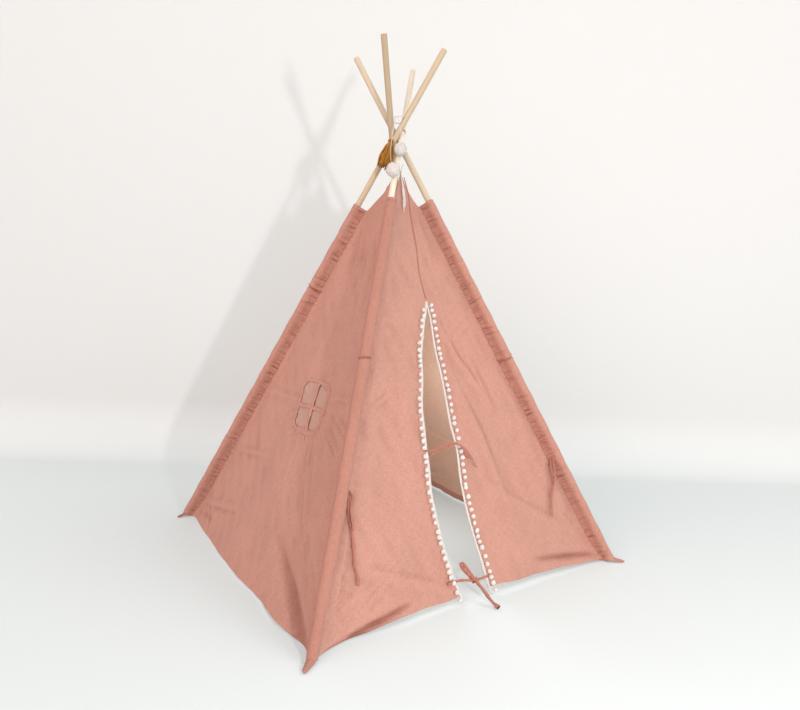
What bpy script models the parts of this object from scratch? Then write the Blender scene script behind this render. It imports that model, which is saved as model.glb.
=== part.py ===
"""Play teepee: four jointed timber poles lashed at the crown, in a fitted cotton cover.

The cover has a pole pocket on each corner, two door flaps with pompom fringe, ties, and a small
net window. Metres, Z up, the door faces -Y, the floor is Z = 0 under the middle of the square base.
"""
import math

import bpy
import bmesh
from mathutils import Matrix, Vector

# Frame
BASE_WIDTH = 1.100
CROWN_HEIGHT = 1.390
CROWN_STEP = 0.0112
POLE_LENGTH = 1.900
POLE_RADIUS = 0.010
POLE_JOINT_FROM_FOOT = 0.950
POLE_END_GAP = 0.0006
HOLE_FROM_TOP = 0.245
HOLE_RADIUS = 0.0023
FERRULE_LENGTH = 0.120
FERRULE_WALL = 0.0009
FERRULE_CLEARANCE = 0.0004

# Pole pockets
POCKET_INNER_RADIUS = 0.0120
POCKET_WALL = 0.0016
TAIL_SHARE = 1.15
POCKET_FIN = 0.030
POCKET_FIN_HALF = 0.0020
POCKET_TOP = 1.165
POCKET_FLOOR = 0.0020
FOOT_CLEARANCE = 0.0005

# Cover
CLOTH = 0.0020
SEAM_GAP = 0.0004
CORNER_GAP = 0.0015
HEM_LOW = 0.003
HEM_RISE = 0.016
SAG = 0.008
SHOULDER_SHARE = 0.8201
PEAK_SHARE = 0.9079
APEX_SHARE = 0.6115
SHOULDER_HEIGHT = CROWN_HEIGHT * SHOULDER_SHARE
PEAK_HEIGHT = CROWN_HEIGHT * PEAK_SHARE
APEX_HEIGHT = CROWN_HEIGHT * APEX_SHARE
FLAP_TOP_DROP = 0.050
FLAP_TOP = APEX_HEIGHT - FLAP_TOP_DROP
FOLD_RIPPLE = 0.006
FOLD_COUNT = 2
FLAP_COLUMNS = 12
TOP_CURVE = 1.3

# Window
WINDOW_LOW = 0.432
WINDOW_HIGH = 0.580
WINDOW_FRONT_SHARE = 0.315
WINDOW_BACK_SHARE = 0.560
BINDING_WIDTH = 0.018
BINDING_LAP = 0.004
NET_LAP = 0.008
NET_THICKNESS = 0.0010
RIBBON_WIDTH = 0.010

# Trims, ties and crown
TAPE_WIDTH = 0.009
TAPE_THICKNESS = 0.0012
BALL_RADIUS = 0.0065
BALL_PITCH = 0.0215
BALL_THREAD_RADIUS = 0.0010
TIE_WIDTH = 0.009
TIE_THICKNESS = 0.0012
SURFACE_GAP = 0.0005
KNOT_RADIUS = 0.008
KNOT_ACROSS = -0.017
KNOT_HEIGHT = 0.053
BOW_TAIL_LENGTH = 0.072
CORD_RADIUS = 0.0015
STRING_RADIUS = 0.0008
HOLE_STRAIGHT = 0.0095
HOLE_LEAD = 0.0035
POMPOM_LOW_RADIUS = 0.0246
POMPOM_HIGH_RADIUS = 0.0216
POMPOM_CLEAR = 0.0012
TASSEL_LENGTH = 0.093
TASSEL_HEAD_RADIUS = 0.0075
TASSEL_NECK_RADIUS = 0.0050
TASSEL_SKIRT_RADIUS = 0.0170
POMPOM_LOW_DROP = 0.113
POMPOM_HIGH_DROP = 0.048
TASSEL_DROP = 0.014
POMPOM_LOW_HEIGHT = CROWN_HEIGHT - POMPOM_LOW_DROP
POMPOM_HIGH_HEIGHT = CROWN_HEIGHT - POMPOM_HIGH_DROP
TASSEL_HEIGHT = CROWN_HEIGHT - TASSEL_DROP
STRING_CLEAR = 0.006
END_GAP = 0.0004
BAND_RISE = 0.034
BAND_HEIGHT = CROWN_HEIGHT + BAND_RISE
BAND_WIDTH = 0.007
TAPE_DROP = 0.090
TAPE_START = CROWN_HEIGHT - TAPE_DROP
TAPE_TOP_CLEAR = 0.006
LEFT_DRAW_SHARE = 0.1055
LEFT_DRAW = BASE_WIDTH * LEFT_DRAW_SHARE
MERGE_DISTANCE = 0.00001

POLE_SIDES = 24
UPRIGHT_SHARE = 0.01
BALL_SIDES = 6
TOWARDS_VIEWER = Vector((-0.56, -0.83, 0.0)).normalized()

# Each pole: the sides its foot stands on, then the sides it passes the crown on, in X and Y.
POLES = {
    "front_left": (-1, -1, 1, -1),
    "front_right": (1, -1, 1, 1),
    "back_right": (1, 1, -1, 1),
    "back_left": (-1, 1, -1, -1),
}

# Each face runs between two poles. Its outward side in X and Y comes last.
FACES = {
    "door": ("front_left", "front_right", (0, -1)),
    "window": ("front_left", "back_left", (-1, 0)),
    "right": ("front_right", "back_right", (1, 0)),
    "rear": ("back_left", "back_right", (0, 1)),
}


def clear_scene():
    for old in list(bpy.data.objects):
        bpy.data.objects.remove(old, do_unlink=True)


def material(name, colour, roughness, metallic=0.0):
    found = bpy.data.materials.get(name)
    if found:
        return found
    made = bpy.data.materials.new(name)
    made.use_nodes = True
    shader = made.node_tree.nodes["Principled BSDF"]
    shader.inputs["Base Color"].default_value = (*colour, 1.0)
    shader.inputs["Roughness"].default_value = roughness
    shader.inputs["Metallic"].default_value = metallic
    return made


clear_scene()
WOOD = material("pale pine", (0.62, 0.43, 0.26), 0.55)
METAL = material("aluminium tube", (0.72, 0.73, 0.74), 0.35, 1.0)
ROSE = material("rose cotton", (0.62, 0.32, 0.25), 0.95)
NET = material("tan net", (0.60, 0.42, 0.30), 0.95)
PINK = material("pink ribbon", (0.60, 0.24, 0.25), 0.8)
WHITE = material("white cotton", (0.80, 0.78, 0.74), 0.9)
FELT = material("white wool", (0.82, 0.81, 0.78), 1.0)
MUSTARD = material("mustard yarn", (0.60, 0.33, 0.05), 0.95)

AXES = {}


def finish(name, mesh_builder, finish_material, joint=None, smooth=True):
    """Makes one named object from a filled bmesh. A moving piece hangs from its joint's empty."""
    bmesh.ops.remove_doubles(mesh_builder, verts=mesh_builder.verts, dist=MERGE_DISTANCE)
    bmesh.ops.recalc_face_normals(mesh_builder, faces=mesh_builder.faces)
    mesh = bpy.data.meshes.new(name)
    mesh_builder.to_mesh(mesh)
    mesh_builder.free()
    mesh.materials.append(finish_material)
    made = bpy.data.objects.new(name, mesh)
    bpy.context.collection.objects.link(made)
    if smooth:
        mesh.shade_smooth()
        mesh.set_sharp_from_angle(angle=math.radians(35))
    hang(made, joint)
    return made


def axis_empty(name, position, joint=None):
    """A plain empty on a joint's axis, which the joint's pieces are parented to."""
    empty = bpy.data.objects.new(name, None)
    empty.location = position
    bpy.context.collection.objects.link(empty)
    hang(empty, joint)
    AXES[name] = empty


def hang(made, joint):
    if joint:
        empty = AXES[joint]
        made.parent = empty
        made.matrix_parent_inverse = Matrix.Translation(empty.location).inverted()


def pole_foot(pole):
    side_x, side_y = POLES[pole][:2]
    return Vector((side_x * BASE_WIDTH / 2, side_y * BASE_WIDTH / 2, 0.0))


def pole_crossing(pole):
    side_x, side_y = POLES[pole][2:]
    return Vector((side_x * CROWN_STEP, side_y * CROWN_STEP, CROWN_HEIGHT))


def pole_direction(pole):
    return (pole_crossing(pole) - pole_foot(pole)).normalized()


def inward(pole):
    side_x, side_y = POLES[pole][:2]
    return Vector((-side_x, -side_y, 0.0)).normalized()


def fin_direction(pole):
    along = pole_direction(pole)
    towards = inward(pole)
    return (towards - along * towards.dot(along)).normalized()


def level_point(pole, offset, height):
    """The point at this height on the line that runs beside the pole at this offset."""
    along = pole_direction(pole)
    start = pole_foot(pole) + offset
    return start + along * ((height - start.z) / along.z)


def seam_point(pole, height):
    return level_point(pole, fin_direction(pole) * POCKET_FIN, height)


def face_normal(face):
    first, second, _ = FACES[face]
    low_a = seam_point(first, 0.0)
    low_b = seam_point(second, 0.0)
    high = (seam_point(first, PEAK_HEIGHT) + seam_point(second, PEAK_HEIGHT)) / 2
    normal = (low_b - low_a).cross(high - low_a).normalized()
    out_x, out_y = FACES[face][2]
    if normal.x * out_x + normal.y * out_y < 0:
        normal = -normal
    return normal


NORMALS = {face: face_normal(face) for face in FACES}


def face_point(face, share, height, lift=0.0):
    """A point on a cloth face: share runs from its first pole's seam to its second one's."""
    first, second, _ = FACES[face]
    a = seam_point(first, height)
    b = seam_point(second, height)
    low = math.sin(math.pi * min(max(height / PEAK_HEIGHT, 0.0), 1.0))
    sag = SAG * math.sin(math.pi * min(max(share, 0.0), 1.0)) * low
    return a.lerp(b, share) + NORMALS[face] * (lift - sag)


def share_at(face, height, across):
    """The share of the face at which its X, on the door or rear face, or Y equals across."""
    first, second, outward = FACES[face]
    a = seam_point(first, height)
    b = seam_point(second, height)
    if outward[0] == 0:
        return (across - a.x) / (b.x - a.x)
    return (across - a.y) / (b.y - a.y)


def face_width(face, height):
    first, second, _ = FACES[face]
    return (seam_point(second, height) - seam_point(first, height)).length


def edge_share(face, height):
    return CORNER_GAP / face_width(face, height)


def frame_of(along):
    side = along.cross(Vector((0, 0, 1)))
    if side.length < UPRIGHT_SHARE:
        side = Vector((1, 0, 0))
    side.normalize()
    return side, side.cross(along).normalized()


def loft(name, loops, finish_material, joint=None, ring=False):
    """Skins a run of equal loops. A ring closes on itself, and any other run gets flat ends."""
    bm = bmesh.new()
    rows = [[bm.verts.new(p) for p in loop] for loop in loops]
    count = len(rows[0])
    pairs = list(zip(rows, rows[1:]))
    if ring:
        pairs.append((rows[-1], rows[0]))
    for low, high in pairs:
        for i in range(count):
            j = (i + 1) % count
            bm.faces.new((low[i], low[j], high[j], high[i]))
    if not ring:
        bm.faces.new(rows[0])
        bm.faces.new(rows[-1])
    return finish(name, bm, finish_material, joint)


def circle(centre, along, radius, sides):
    side, up = frame_of(along)
    points = []
    for i in range(sides):
        angle = math.tau * i / sides
        points.append(centre + side * (radius * math.cos(angle)) + up * (radius * math.sin(angle)))
    return points


def slab(name, grid, normal, thickness, finish_material, joint=None, holes=()):
    """A sheet of even thickness over a grid of points. Cells named in holes are left out."""
    bm = bmesh.new()
    half = thickness / 2
    shift = normal if callable(normal) else (lambda i, j: normal)
    top = [[bm.verts.new(p + shift(i, j) * half) for j, p in enumerate(r)] for i, r in enumerate(grid)]
    low = [[bm.verts.new(p - shift(i, j) * half) for j, p in enumerate(r)] for i, r in enumerate(grid)]
    rows = len(grid) - 1
    columns = len(grid[0]) - 1
    cells = {(i, j) for i in range(rows) for j in range(columns)} - set(holes)
    for i, j in cells:
        bm.faces.new((top[i][j], top[i][j + 1], top[i + 1][j + 1], top[i + 1][j]))
        bm.faces.new((low[i][j], low[i + 1][j], low[i + 1][j + 1], low[i][j + 1]))
        sides = (
            ((i - 1, j), (i, j), (i, j + 1)),
            ((i + 1, j), (i + 1, j + 1), (i + 1, j)),
            ((i, j - 1), (i + 1, j), (i, j)),
            ((i, j + 1), (i, j + 1), (i + 1, j + 1)),
        )
        for neighbour, p, q in sides:
            if neighbour not in cells:
                bm.faces.new((top[p[0]][p[1]], low[p[0]][p[1]], low[q[0]][q[1]], top[q[0]][q[1]]))
    loose = [v for v in bm.verts if not v.link_faces]
    bmesh.ops.delete(bm, geom=loose, context="VERTS")
    return finish(name, bm, finish_material, joint, smooth=False)


def smooth_points(keys, steps):
    """Points along a smooth curve through the keys."""
    points = []
    for i in range(len(keys) - 1):
        before = keys[max(i - 1, 0)]
        after = keys[min(i + 2, len(keys) - 1)]
        a = keys[i]
        b = keys[i + 1]
        for k in range(steps):
            t = k / steps
            points.append(0.5 * (
                2 * a + (b - before) * t
                + (2 * before - 5 * a + 4 * b - after) * t ** 2
                + (3 * a - before - 3 * b + after) * t ** 3
            ))
    points.append(keys[-1])
    return points


def cord(name, points, radius, finish_material, joint=None):
    curve = bpy.data.curves.new(name, "CURVE")
    curve.dimensions = "3D"
    curve.bevel_depth = radius
    curve.bevel_resolution = 2
    curve.use_fill_caps = True
    spline = curve.splines.new("POLY")
    spline.points.add(len(points) - 1)
    for knot, point in zip(spline.points, points):
        knot.co = (*point, 1.0)
    curve.materials.append(finish_material)
    made = bpy.data.objects.new(name, curve)
    bpy.context.collection.objects.link(made)
    hang(made, joint)
    return made


def ribbon(name, keys, sideways, width, thickness, finish_material, joint=None, steps=3):
    """A flat ribbon along smooth keys. Its width lies along sideways, held square to its run."""
    path = smooth_points(keys, steps)
    grid = []
    normals = []
    for i, point in enumerate(path):
        run = (path[min(i + 1, len(path) - 1)] - path[max(i - 1, 0)]).normalized()
        wide = sideways(point) if callable(sideways) else sideways
        across = (wide - run * wide.dot(run)).normalized()
        grid.append([point - across * width / 2, point + across * width / 2])
        normals.append(run.cross(across).normalized())
    return slab(name, grid, lambda i, j: normals[i], thickness, finish_material, joint)


# The joints' axes
PIVOT = Vector((0.0, 0.0, CROWN_HEIGHT))
LEFT = "left_frame_axis"
RIGHT = "right_frame_axis"
axis_empty(LEFT, PIVOT)
axis_empty(RIGHT, PIVOT)
SIDE_OF = {"front_left": LEFT, "back_left": LEFT, "front_right": RIGHT, "back_right": RIGHT}

# The poles: each is two turned lengths joined in a metal tube, with a cord hole near the top.
FOOT_TILT = math.sqrt(1 - pole_direction("front_left").z ** 2)
FOOT_HEIGHT = POCKET_FLOOR + FOOT_CLEARANCE + POLE_RADIUS * FOOT_TILT


def pole_point(pole, distance):
    along = pole_direction(pole)
    foot = level_point(pole, Vector(), FOOT_HEIGHT)
    return foot + along * distance


def hole_axis(pole):
    """The cord passes each pole square to it, on its way round the crown."""
    along = pole_direction(pole)
    centre = pole_point(pole, POLE_LENGTH - HOLE_FROM_TOP)
    around = Vector((-centre.y, centre.x, 0.0)).normalized()
    return centre, (around - along * around.dot(along)).normalized()


for pole in POLES:
    along = pole_direction(pole)
    joint_at = POLE_JOINT_FROM_FOOT
    lower = (pole_point(pole, 0.0), pole_point(pole, joint_at - POLE_END_GAP / 2))
    upper = (pole_point(pole, joint_at + POLE_END_GAP / 2), pole_point(pole, POLE_LENGTH))
    ends = [circle(p, along, POLE_RADIUS, POLE_SIDES) for p in lower]
    loft("pole_" + pole + "_lower", ends, WOOD, SIDE_OF[pole])
    ends = [circle(p, along, POLE_RADIUS, POLE_SIDES) for p in upper]
    top = loft("pole_" + pole + "_upper", ends, WOOD, SIDE_OF[pole])
    centre, across = hole_axis(pole)
    reach = across * POLE_RADIUS * 2
    bore = [circle(p, across, HOLE_RADIUS, 12) for p in (centre - reach, centre + reach)]
    cutter = loft("bore_" + pole, bore, WOOD)
    cutter.hide_render = True
    cutter.display_type = "WIRE"
    cut = top.modifiers.new("cord hole", "BOOLEAN")
    cut.operation = "DIFFERENCE"
    cut.solver = "EXACT"
    cut.object = cutter
    inner = POLE_RADIUS + FERRULE_CLEARANCE
    tube_low = pole_point(pole, joint_at - FERRULE_LENGTH / 2)
    tube_high = pole_point(pole, joint_at + FERRULE_LENGTH / 2)
    rings = [
        circle(tube_low, along, inner + FERRULE_WALL, POLE_SIDES),
        circle(tube_high, along, inner + FERRULE_WALL, POLE_SIDES),
        circle(tube_high, along, inner, POLE_SIDES),
        circle(tube_low, along, inner, POLE_SIDES),
    ]
    loft("ferrule_" + pole, rings, METAL, SIDE_OF[pole], ring=True)


# The pole pockets: a closed-ended sleeve round each pole, with a flat fin towards the cover's corner.
def pocket_outline(pole):
    along = pole_direction(pole)
    fin = fin_direction(pole)
    side = along.cross(fin).normalized()
    radius = POCKET_INNER_RADIUS + POCKET_WALL
    spread = math.degrees(math.acos((radius - POCKET_FIN_HALF) / POCKET_FIN))
    outer = []
    inner = []
    arc = 14
    for i in range(arc + 1):
        angle = math.radians(spread + (360 - 2 * spread) * i / arc)
        ray = fin * math.cos(angle) + side * math.sin(angle)
        outer.append(ray * radius)
        inner.append(ray * POCKET_INNER_RADIUS)
    for turn in (-1, 1):
        outer.append(fin * (POCKET_FIN - SURFACE_GAP) + side * (POCKET_FIN_HALF * turn))
        angle = math.radians(spread * turn / 3)
        inner.append((fin * math.cos(angle) + side * math.sin(angle)) * POCKET_INNER_RADIUS * TAIL_SHARE)
    return outer, inner


for pole in POLES:
    outer, inner = pocket_outline(pole)
    floor = POCKET_FLOOR
    loops = [[level_point(pole, e, 0.0) for e in outer]]
    loops.append([level_point(pole, e, POCKET_TOP) for e in outer])
    loops.append([level_point(pole, e, POCKET_TOP) for e in inner])
    loops.append([level_point(pole, e, floor) for e in inner])
    loft("pocket_" + pole, loops, ROSE, SIDE_OF[pole])


# The cover's faces
def top_height(share):
    rise = (1 - abs(2 * share - 1)) ** TOP_CURVE
    return SHOULDER_HEIGHT + (PEAK_HEIGHT - SHOULDER_HEIGHT) * rise


def hem_height(share):
    return HEM_LOW + HEM_RISE * math.sin(math.pi * min(max(share, 0.0), 1.0))


def cloth_rows(face, levels, left, right, columns):
    """Level rows between two edges, given as shares by height. The first row is the hem."""
    rows = []
    for k, height in enumerate(levels):
        row = []
        for c in range(columns + 1):
            share = left(height) + (right(height) - left(height)) * c / columns
            level = hem_height(share) if k == 0 else height
            row.append(face_point(face, share, level))
        rows.append(row)
    return rows


def top_rows(face, left, right, columns, steps=(0.5, 1.0)):
    """The rows from the shoulder to the curved top edge."""
    rows = []
    for step in steps:
        row = []
        for c in range(columns + 1):
            share = left + (right - left) * c / columns
            level = SHOULDER_HEIGHT + (top_height(share) - SHOULDER_HEIGHT) * step
            level = max(level, SHOULDER_HEIGHT + CLOTH * step)
            row.append(face_point(face, share, level))
        rows.append(row)
    return rows


def inset(face):
    return lambda height: edge_share(face, height)


def far(face):
    return lambda height: 1 - edge_share(face, height)


FACE_LEVELS = [SHOULDER_HEIGHT * share for share in (0.0, 0.2, 0.4, 0.6, 0.8, 1.0)]
TOP_EDGE = edge_share("door", SHOULDER_HEIGHT) * 1.6

for face, joint in (("right", RIGHT), ("rear", None)):
    rows = cloth_rows(face, FACE_LEVELS, inset(face), far(face), 8)
    rows += top_rows(face, TOP_EDGE, 1 - TOP_EDGE, 8)
    slab(face + "_panel", rows, NORMALS[face], CLOTH, ROSE, joint)

# The window panel: its columns and rows run along the window's edges, so the opening is a cell.
WINDOW_SHARES = (0.0, 0.16, WINDOW_FRONT_SHARE, WINDOW_BACK_SHARE, 0.78, 1.0)
WINDOW_LEVELS = (0.0, WINDOW_LOW / 2, WINDOW_LOW, WINDOW_HIGH, (WINDOW_HIGH + SHOULDER_HEIGHT) / 2,
                 SHOULDER_HEIGHT)
rows = []
for k, height in enumerate(WINDOW_LEVELS):
    edge = edge_share("window", height)
    shares = [edge + (1 - 2 * edge) * s for s in WINDOW_SHARES]
    rows.append([face_point("window", s, hem_height(s) if k == 0 else height) for s in shares])
for step in (0.5, 1.0):
    row = []
    for s in WINDOW_SHARES:
        share = TOP_EDGE + (1 - 2 * TOP_EDGE) * s
        level = SHOULDER_HEIGHT + (top_height(share) - SHOULDER_HEIGHT) * step
        level = max(level, SHOULDER_HEIGHT + CLOTH * step)
        row.append(face_point("window", share, level))
    rows.append(row)
slab("window_panel", rows, NORMALS["window"], CLOTH, ROSE, LEFT, holes=[(2, 2)])


def window_point(share, height, lift):
    edge = edge_share("window", height)
    return face_point("window", edge + (1 - 2 * edge) * share, height, lift)


def window_share(distance, height):
    return distance / face_width("window", height)


def window_grid(lows, highs, lift):
    """A grid over the window: lows and highs widen it in share and height."""
    grid = []
    for height in highs:
        grid.append([window_point(s + window_share(d, height), height, lift) for s, d in lows])
    return grid


OUT = CLOTH / 2 + SURFACE_GAP
lows = ((WINDOW_FRONT_SHARE, -BINDING_WIDTH), (WINDOW_FRONT_SHARE, BINDING_LAP),
        (WINDOW_BACK_SHARE, -BINDING_LAP), (WINDOW_BACK_SHARE, BINDING_WIDTH))
highs = (WINDOW_LOW - BINDING_WIDTH, WINDOW_LOW + BINDING_LAP,
         WINDOW_HIGH - BINDING_LAP, WINDOW_HIGH + BINDING_WIDTH)
grid = window_grid(lows, highs, OUT + TIE_THICKNESS / 2)
slab("window_binding", grid, NORMALS["window"], TIE_THICKNESS, PINK, LEFT, holes=[(1, 1)])

lows = ((WINDOW_FRONT_SHARE, -NET_LAP), (WINDOW_BACK_SHARE, NET_LAP))
highs = (WINDOW_LOW - NET_LAP, WINDOW_HIGH + NET_LAP)
grid = window_grid(lows, highs, -OUT - NET_THICKNESS / 2)
slab("window_net", grid, NORMALS["window"], NET_THICKNESS, NET, LEFT)

MIDDLE_SHARE = (WINDOW_FRONT_SHARE + WINDOW_BACK_SHARE) / 2
MIDDLE_HEIGHT = (WINDOW_LOW + WINDOW_HIGH) / 2
bar_low = WINDOW_LOW + SURFACE_GAP
bar_high = WINDOW_HIGH - SURFACE_GAP
lows = ((MIDDLE_SHARE, -RIBBON_WIDTH / 2), (MIDDLE_SHARE, RIBBON_WIDTH / 2))
grid = window_grid(lows, (bar_low, bar_high), 0.0)
slab("window_ribbon_upright", grid, NORMALS["window"], TIE_THICKNESS, PINK, LEFT)
inner_edge = BINDING_LAP + SURFACE_GAP
lows = ((WINDOW_FRONT_SHARE, inner_edge), (WINDOW_BACK_SHARE, -inner_edge))
highs = (MIDDLE_HEIGHT - RIBBON_WIDTH / 2, MIDDLE_HEIGHT + RIBBON_WIDTH / 2)
grid = window_grid(lows, highs, OUT + TIE_THICKNESS / 2)
slab("window_ribbon_level", grid, NORMALS["window"], TIE_THICKNESS, PINK, LEFT)

# The door: two panels sewn together above the slit, and a flap on each that folds back
# along a line from the slit's top to the hem near the pole.
CENTRE_SHARE = 0.515
LEFT_FOLD_SHARE = 0.045
RIGHT_FOLD_SHARE = 0.940
FLAP_LEVEL_SHARES = (0.0, 0.10, 0.20, 0.32, 0.45, 0.58, 0.71, 0.86, 1.0)
LEFT_DRAW_SHARES = (0.72, 0.88, 0.99, 1.04, 1.02, 0.90, 0.74, 0.45, 0.19)
FLAP_LEVELS = [FLAP_TOP * share for share in FLAP_LEVEL_SHARES]
LEFT_FLAP = "left_flap_axis"
RIGHT_FLAP = "right_flap_axis"
FLAP_AXES = {"left": LEFT_FLAP, "right": RIGHT_FLAP}
DOOR_OUT = NORMALS["door"] * (CLOTH / 2)
APEX = face_point("door", CENTRE_SHARE, APEX_HEIGHT)
FOLD_FEET = {
    "left": face_point("door", LEFT_FOLD_SHARE, HEM_LOW),
    "right": face_point("door", RIGHT_FOLD_SHARE, HEM_LOW),
}
FRAME_AXES = {"left": LEFT, "right": RIGHT}
for side, name in FLAP_AXES.items():
    axis_empty(name, FOLD_FEET[side] + DOOR_OUT, FRAME_AXES[side])


def fold_share(side, height):
    foot = FOLD_FEET[side]
    t = (height - foot.z) / (APEX.z - foot.z)
    return share_at("door", height, foot.x + (APEX.x - foot.x) * min(t, 1.0))


def left_edge_share(height):
    """The left flap's edge is drawn aside from the slit's middle, by a share of LEFT_DRAW at each level."""
    k = max(i for i in range(len(FLAP_LEVELS) - 1) if FLAP_LEVELS[i] <= max(height, 0.0))
    t = (height - FLAP_LEVELS[k]) / (FLAP_LEVELS[k + 1] - FLAP_LEVELS[k])
    draw = LEFT_DRAW_SHARES[k] + (LEFT_DRAW_SHARES[k + 1] - LEFT_DRAW_SHARES[k]) * t
    return CENTRE_SHARE - gap_share(draw * LEFT_DRAW, height)


def gap_share(distance, height):
    return distance / face_width("door", height)


DOOR_LEVELS = [APEX_HEIGHT * share for share in (0.0, 0.17, 0.35, 0.53, 0.72, 0.88, 1.0)]
DOOR_LEVELS += [(APEX_HEIGHT + SHOULDER_HEIGHT) / 2, SHOULDER_HEIGHT]

left_end = lambda z: (fold_share("left", z) if z < APEX_HEIGHT else CENTRE_SHARE) - gap_share(SEAM_GAP, z)
right_end = lambda z: (fold_share("right", z) if z < APEX_HEIGHT else CENTRE_SHARE) + gap_share(SEAM_GAP, z)
centre_gap = gap_share(SEAM_GAP, SHOULDER_HEIGHT)

rows = cloth_rows("door", DOOR_LEVELS, inset("door"), left_end, 4)
rows += top_rows("door", TOP_EDGE, CENTRE_SHARE - centre_gap, 4)
slab("door_panel_left", rows, NORMALS["door"], CLOTH, ROSE, LEFT)
rows = cloth_rows("door", DOOR_LEVELS, right_end, far("door"), 4)
rows += top_rows("door", CENTRE_SHARE + centre_gap, 1 - TOP_EDGE, 4)
slab("door_panel_right", rows, NORMALS["door"], CLOTH, ROSE, RIGHT)


def fold_depth(step):
    """How far the cloth stands out at one of the flap's columns."""
    t = min(max(step / FLAP_COLUMNS, 0.0), 1.0)
    return FOLD_RIPPLE * math.sin(math.tau * FOLD_COUNT * t) * math.sin(math.pi * t) ** 2


def ripple(share, height, start, stop):
    """Loose folds that run down a flap from its top, none along its fold line or its outer edge."""
    t = min(max((share - start) / (stop - start), 0.0), 1.0) * FLAP_COLUMNS
    step = int(t)
    depth = fold_depth(step) + (fold_depth(step + 1) - fold_depth(step)) * (t - step)
    return depth * max(1 - height / APEX_HEIGHT, 0.0)


FLAP_ENDS = {
    "left": (lambda z: fold_share("left", z) + gap_share(SEAM_GAP, z), left_edge_share),
    "right": (lambda z: fold_share("right", z) - gap_share(SEAM_GAP, z), lambda z: CENTRE_SHARE),
}


def flap_point(side, t, height, lift=0.0):
    start, stop = (end(height) for end in FLAP_ENDS[side])
    share = start + (stop - start) * t
    return face_point("door", share, height, lift + ripple(share, height, start, stop))


for side in ("left", "right"):
    columns = FLAP_COLUMNS
    rows = []
    for k, height in enumerate(FLAP_LEVELS):
        row = []
        for c in range(columns + 1):
            level = hem_height(0.5) * c / columns + HEM_LOW * (1 - c / columns) if k == 0 else height
            row.append(flap_point(side, c / columns, level))
        rows.append(row)
    slab("flap_" + side, rows, NORMALS["door"], CLOTH, ROSE, FLAP_AXES[side])


# The trims: a white tape along each flap's edge, and a strand of wool balls beside it.
def edge_point(side, height, inset_by, lift):
    start, stop = (end(height) for end in FLAP_ENDS[side])
    towards = -1 if side == "left" else 1
    share = stop + towards * gap_share(inset_by, height)
    return face_point("door", share, height, lift + ripple(share, height, start, stop))


BALL_RINGS = ((-1.0, BALL_THREAD_RADIUS), (-0.45, BALL_RADIUS),
              (0.45, BALL_RADIUS), (1.0, BALL_THREAD_RADIUS))
TRIM_LOW = HEM_LOW + HEM_RISE + TIE_WIDTH
for side in ("left", "right"):
    lift = CLOTH / 2 + SURFACE_GAP + TAPE_THICKNESS / 2
    grid = []
    for k in range(13):
        height = TRIM_LOW + (FLAP_TOP - TRIM_LOW) * k / 12
        grid.append([edge_point(side, height, d, lift) for d in (0.0, TAPE_WIDTH)])
    slab("trim_tape_" + side, grid, NORMALS["door"], TAPE_THICKNESS, WHITE, FLAP_AXES[side])

    lift = CLOTH / 2 + SURFACE_GAP + BALL_RADIUS
    inset_by = TAPE_WIDTH + BALL_RADIUS + SURFACE_GAP
    count = int((FLAP_TOP - TRIM_LOW) / BALL_PITCH)
    loops = []
    for k in range(count):
        middle = TRIM_LOW + BALL_PITCH * (k + 0.5)
        for offset, radius in BALL_RINGS:
            height = middle + offset * BALL_RADIUS
            centre = edge_point(side, height, inset_by, lift)
            ahead = edge_point(side, height + BALL_RADIUS, inset_by, lift)
            loops.append(circle(centre, (ahead - centre).normalized(), radius, BALL_SIDES))
    loft("trim_balls_" + side, loops, FELT, FLAP_AXES[side])


# The ties: narrow ribbons of the same cloth, lying on the door face.
def on_door(share, height, lift):
    for ends in FLAP_ENDS.values():
        start, stop = (end(height) for end in ends)
        if min(start, stop) <= share <= max(start, stop):
            lift += ripple(share, height, start, stop)
    return face_point("door", share, height, lift)


LEVEL = Vector((1, 0, 0))
UPRIGHT = NORMALS["door"].cross(LEVEL).normalized()
ON = CLOTH / 2 + SURFACE_GAP + TIE_THICKNESS / 2
OVER = CLOTH / 2 + BALL_RADIUS * 2 + SURFACE_GAP * 4 + TIE_THICKNESS / 2
UNDER = -ON
KNOT_SQUASH = 0.75
knot_end = KNOT_RADIUS + SURFACE_GAP
knot_top = KNOT_RADIUS * KNOT_SQUASH + SURFACE_GAP
# Each place is a share of the door face from left to right, a share of the apex height, and a lift.
TIE_SHARES = {
    "tie_left_long": (LEFT, LEVEL, (
        (0.0180, 0.4000, ON), (0.0463, 0.3176, ON), (0.0649, 0.2235, ON), (0.0866, 0.1388, ON),
    )),
    "tie_left_short": (LEFT, LEVEL, (
        (0.0359, 0.4000, ON), (0.0702, 0.3176, ON), (0.0883, 0.2412, ON),
    )),
    "tie_right_long": (RIGHT, LEVEL, (
        (0.9708, 0.4071, ON), (0.9503, 0.3412, ON), (0.9081, 0.2588, ON), (0.8712, 0.1812, ON),
    )),
    "tie_right_short": (RIGHT, LEVEL, (
        (0.9888, 0.4071, ON), (0.9768, 0.3529, ON), (0.9523, 0.2941, ON),
    )),
    "tie_middle": (LEFT_FLAP, UPRIGHT, (
        (0.3348, 0.4376, UNDER), (0.3715, 0.4518, UNDER), (0.4269, 0.4847, OVER / 2),
        (0.5194, 0.4918, OVER), (0.5610, 0.4659, OVER), (0.5818, 0.4365, OVER),
        (0.5945, 0.3988, OVER),
    )),
}
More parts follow.
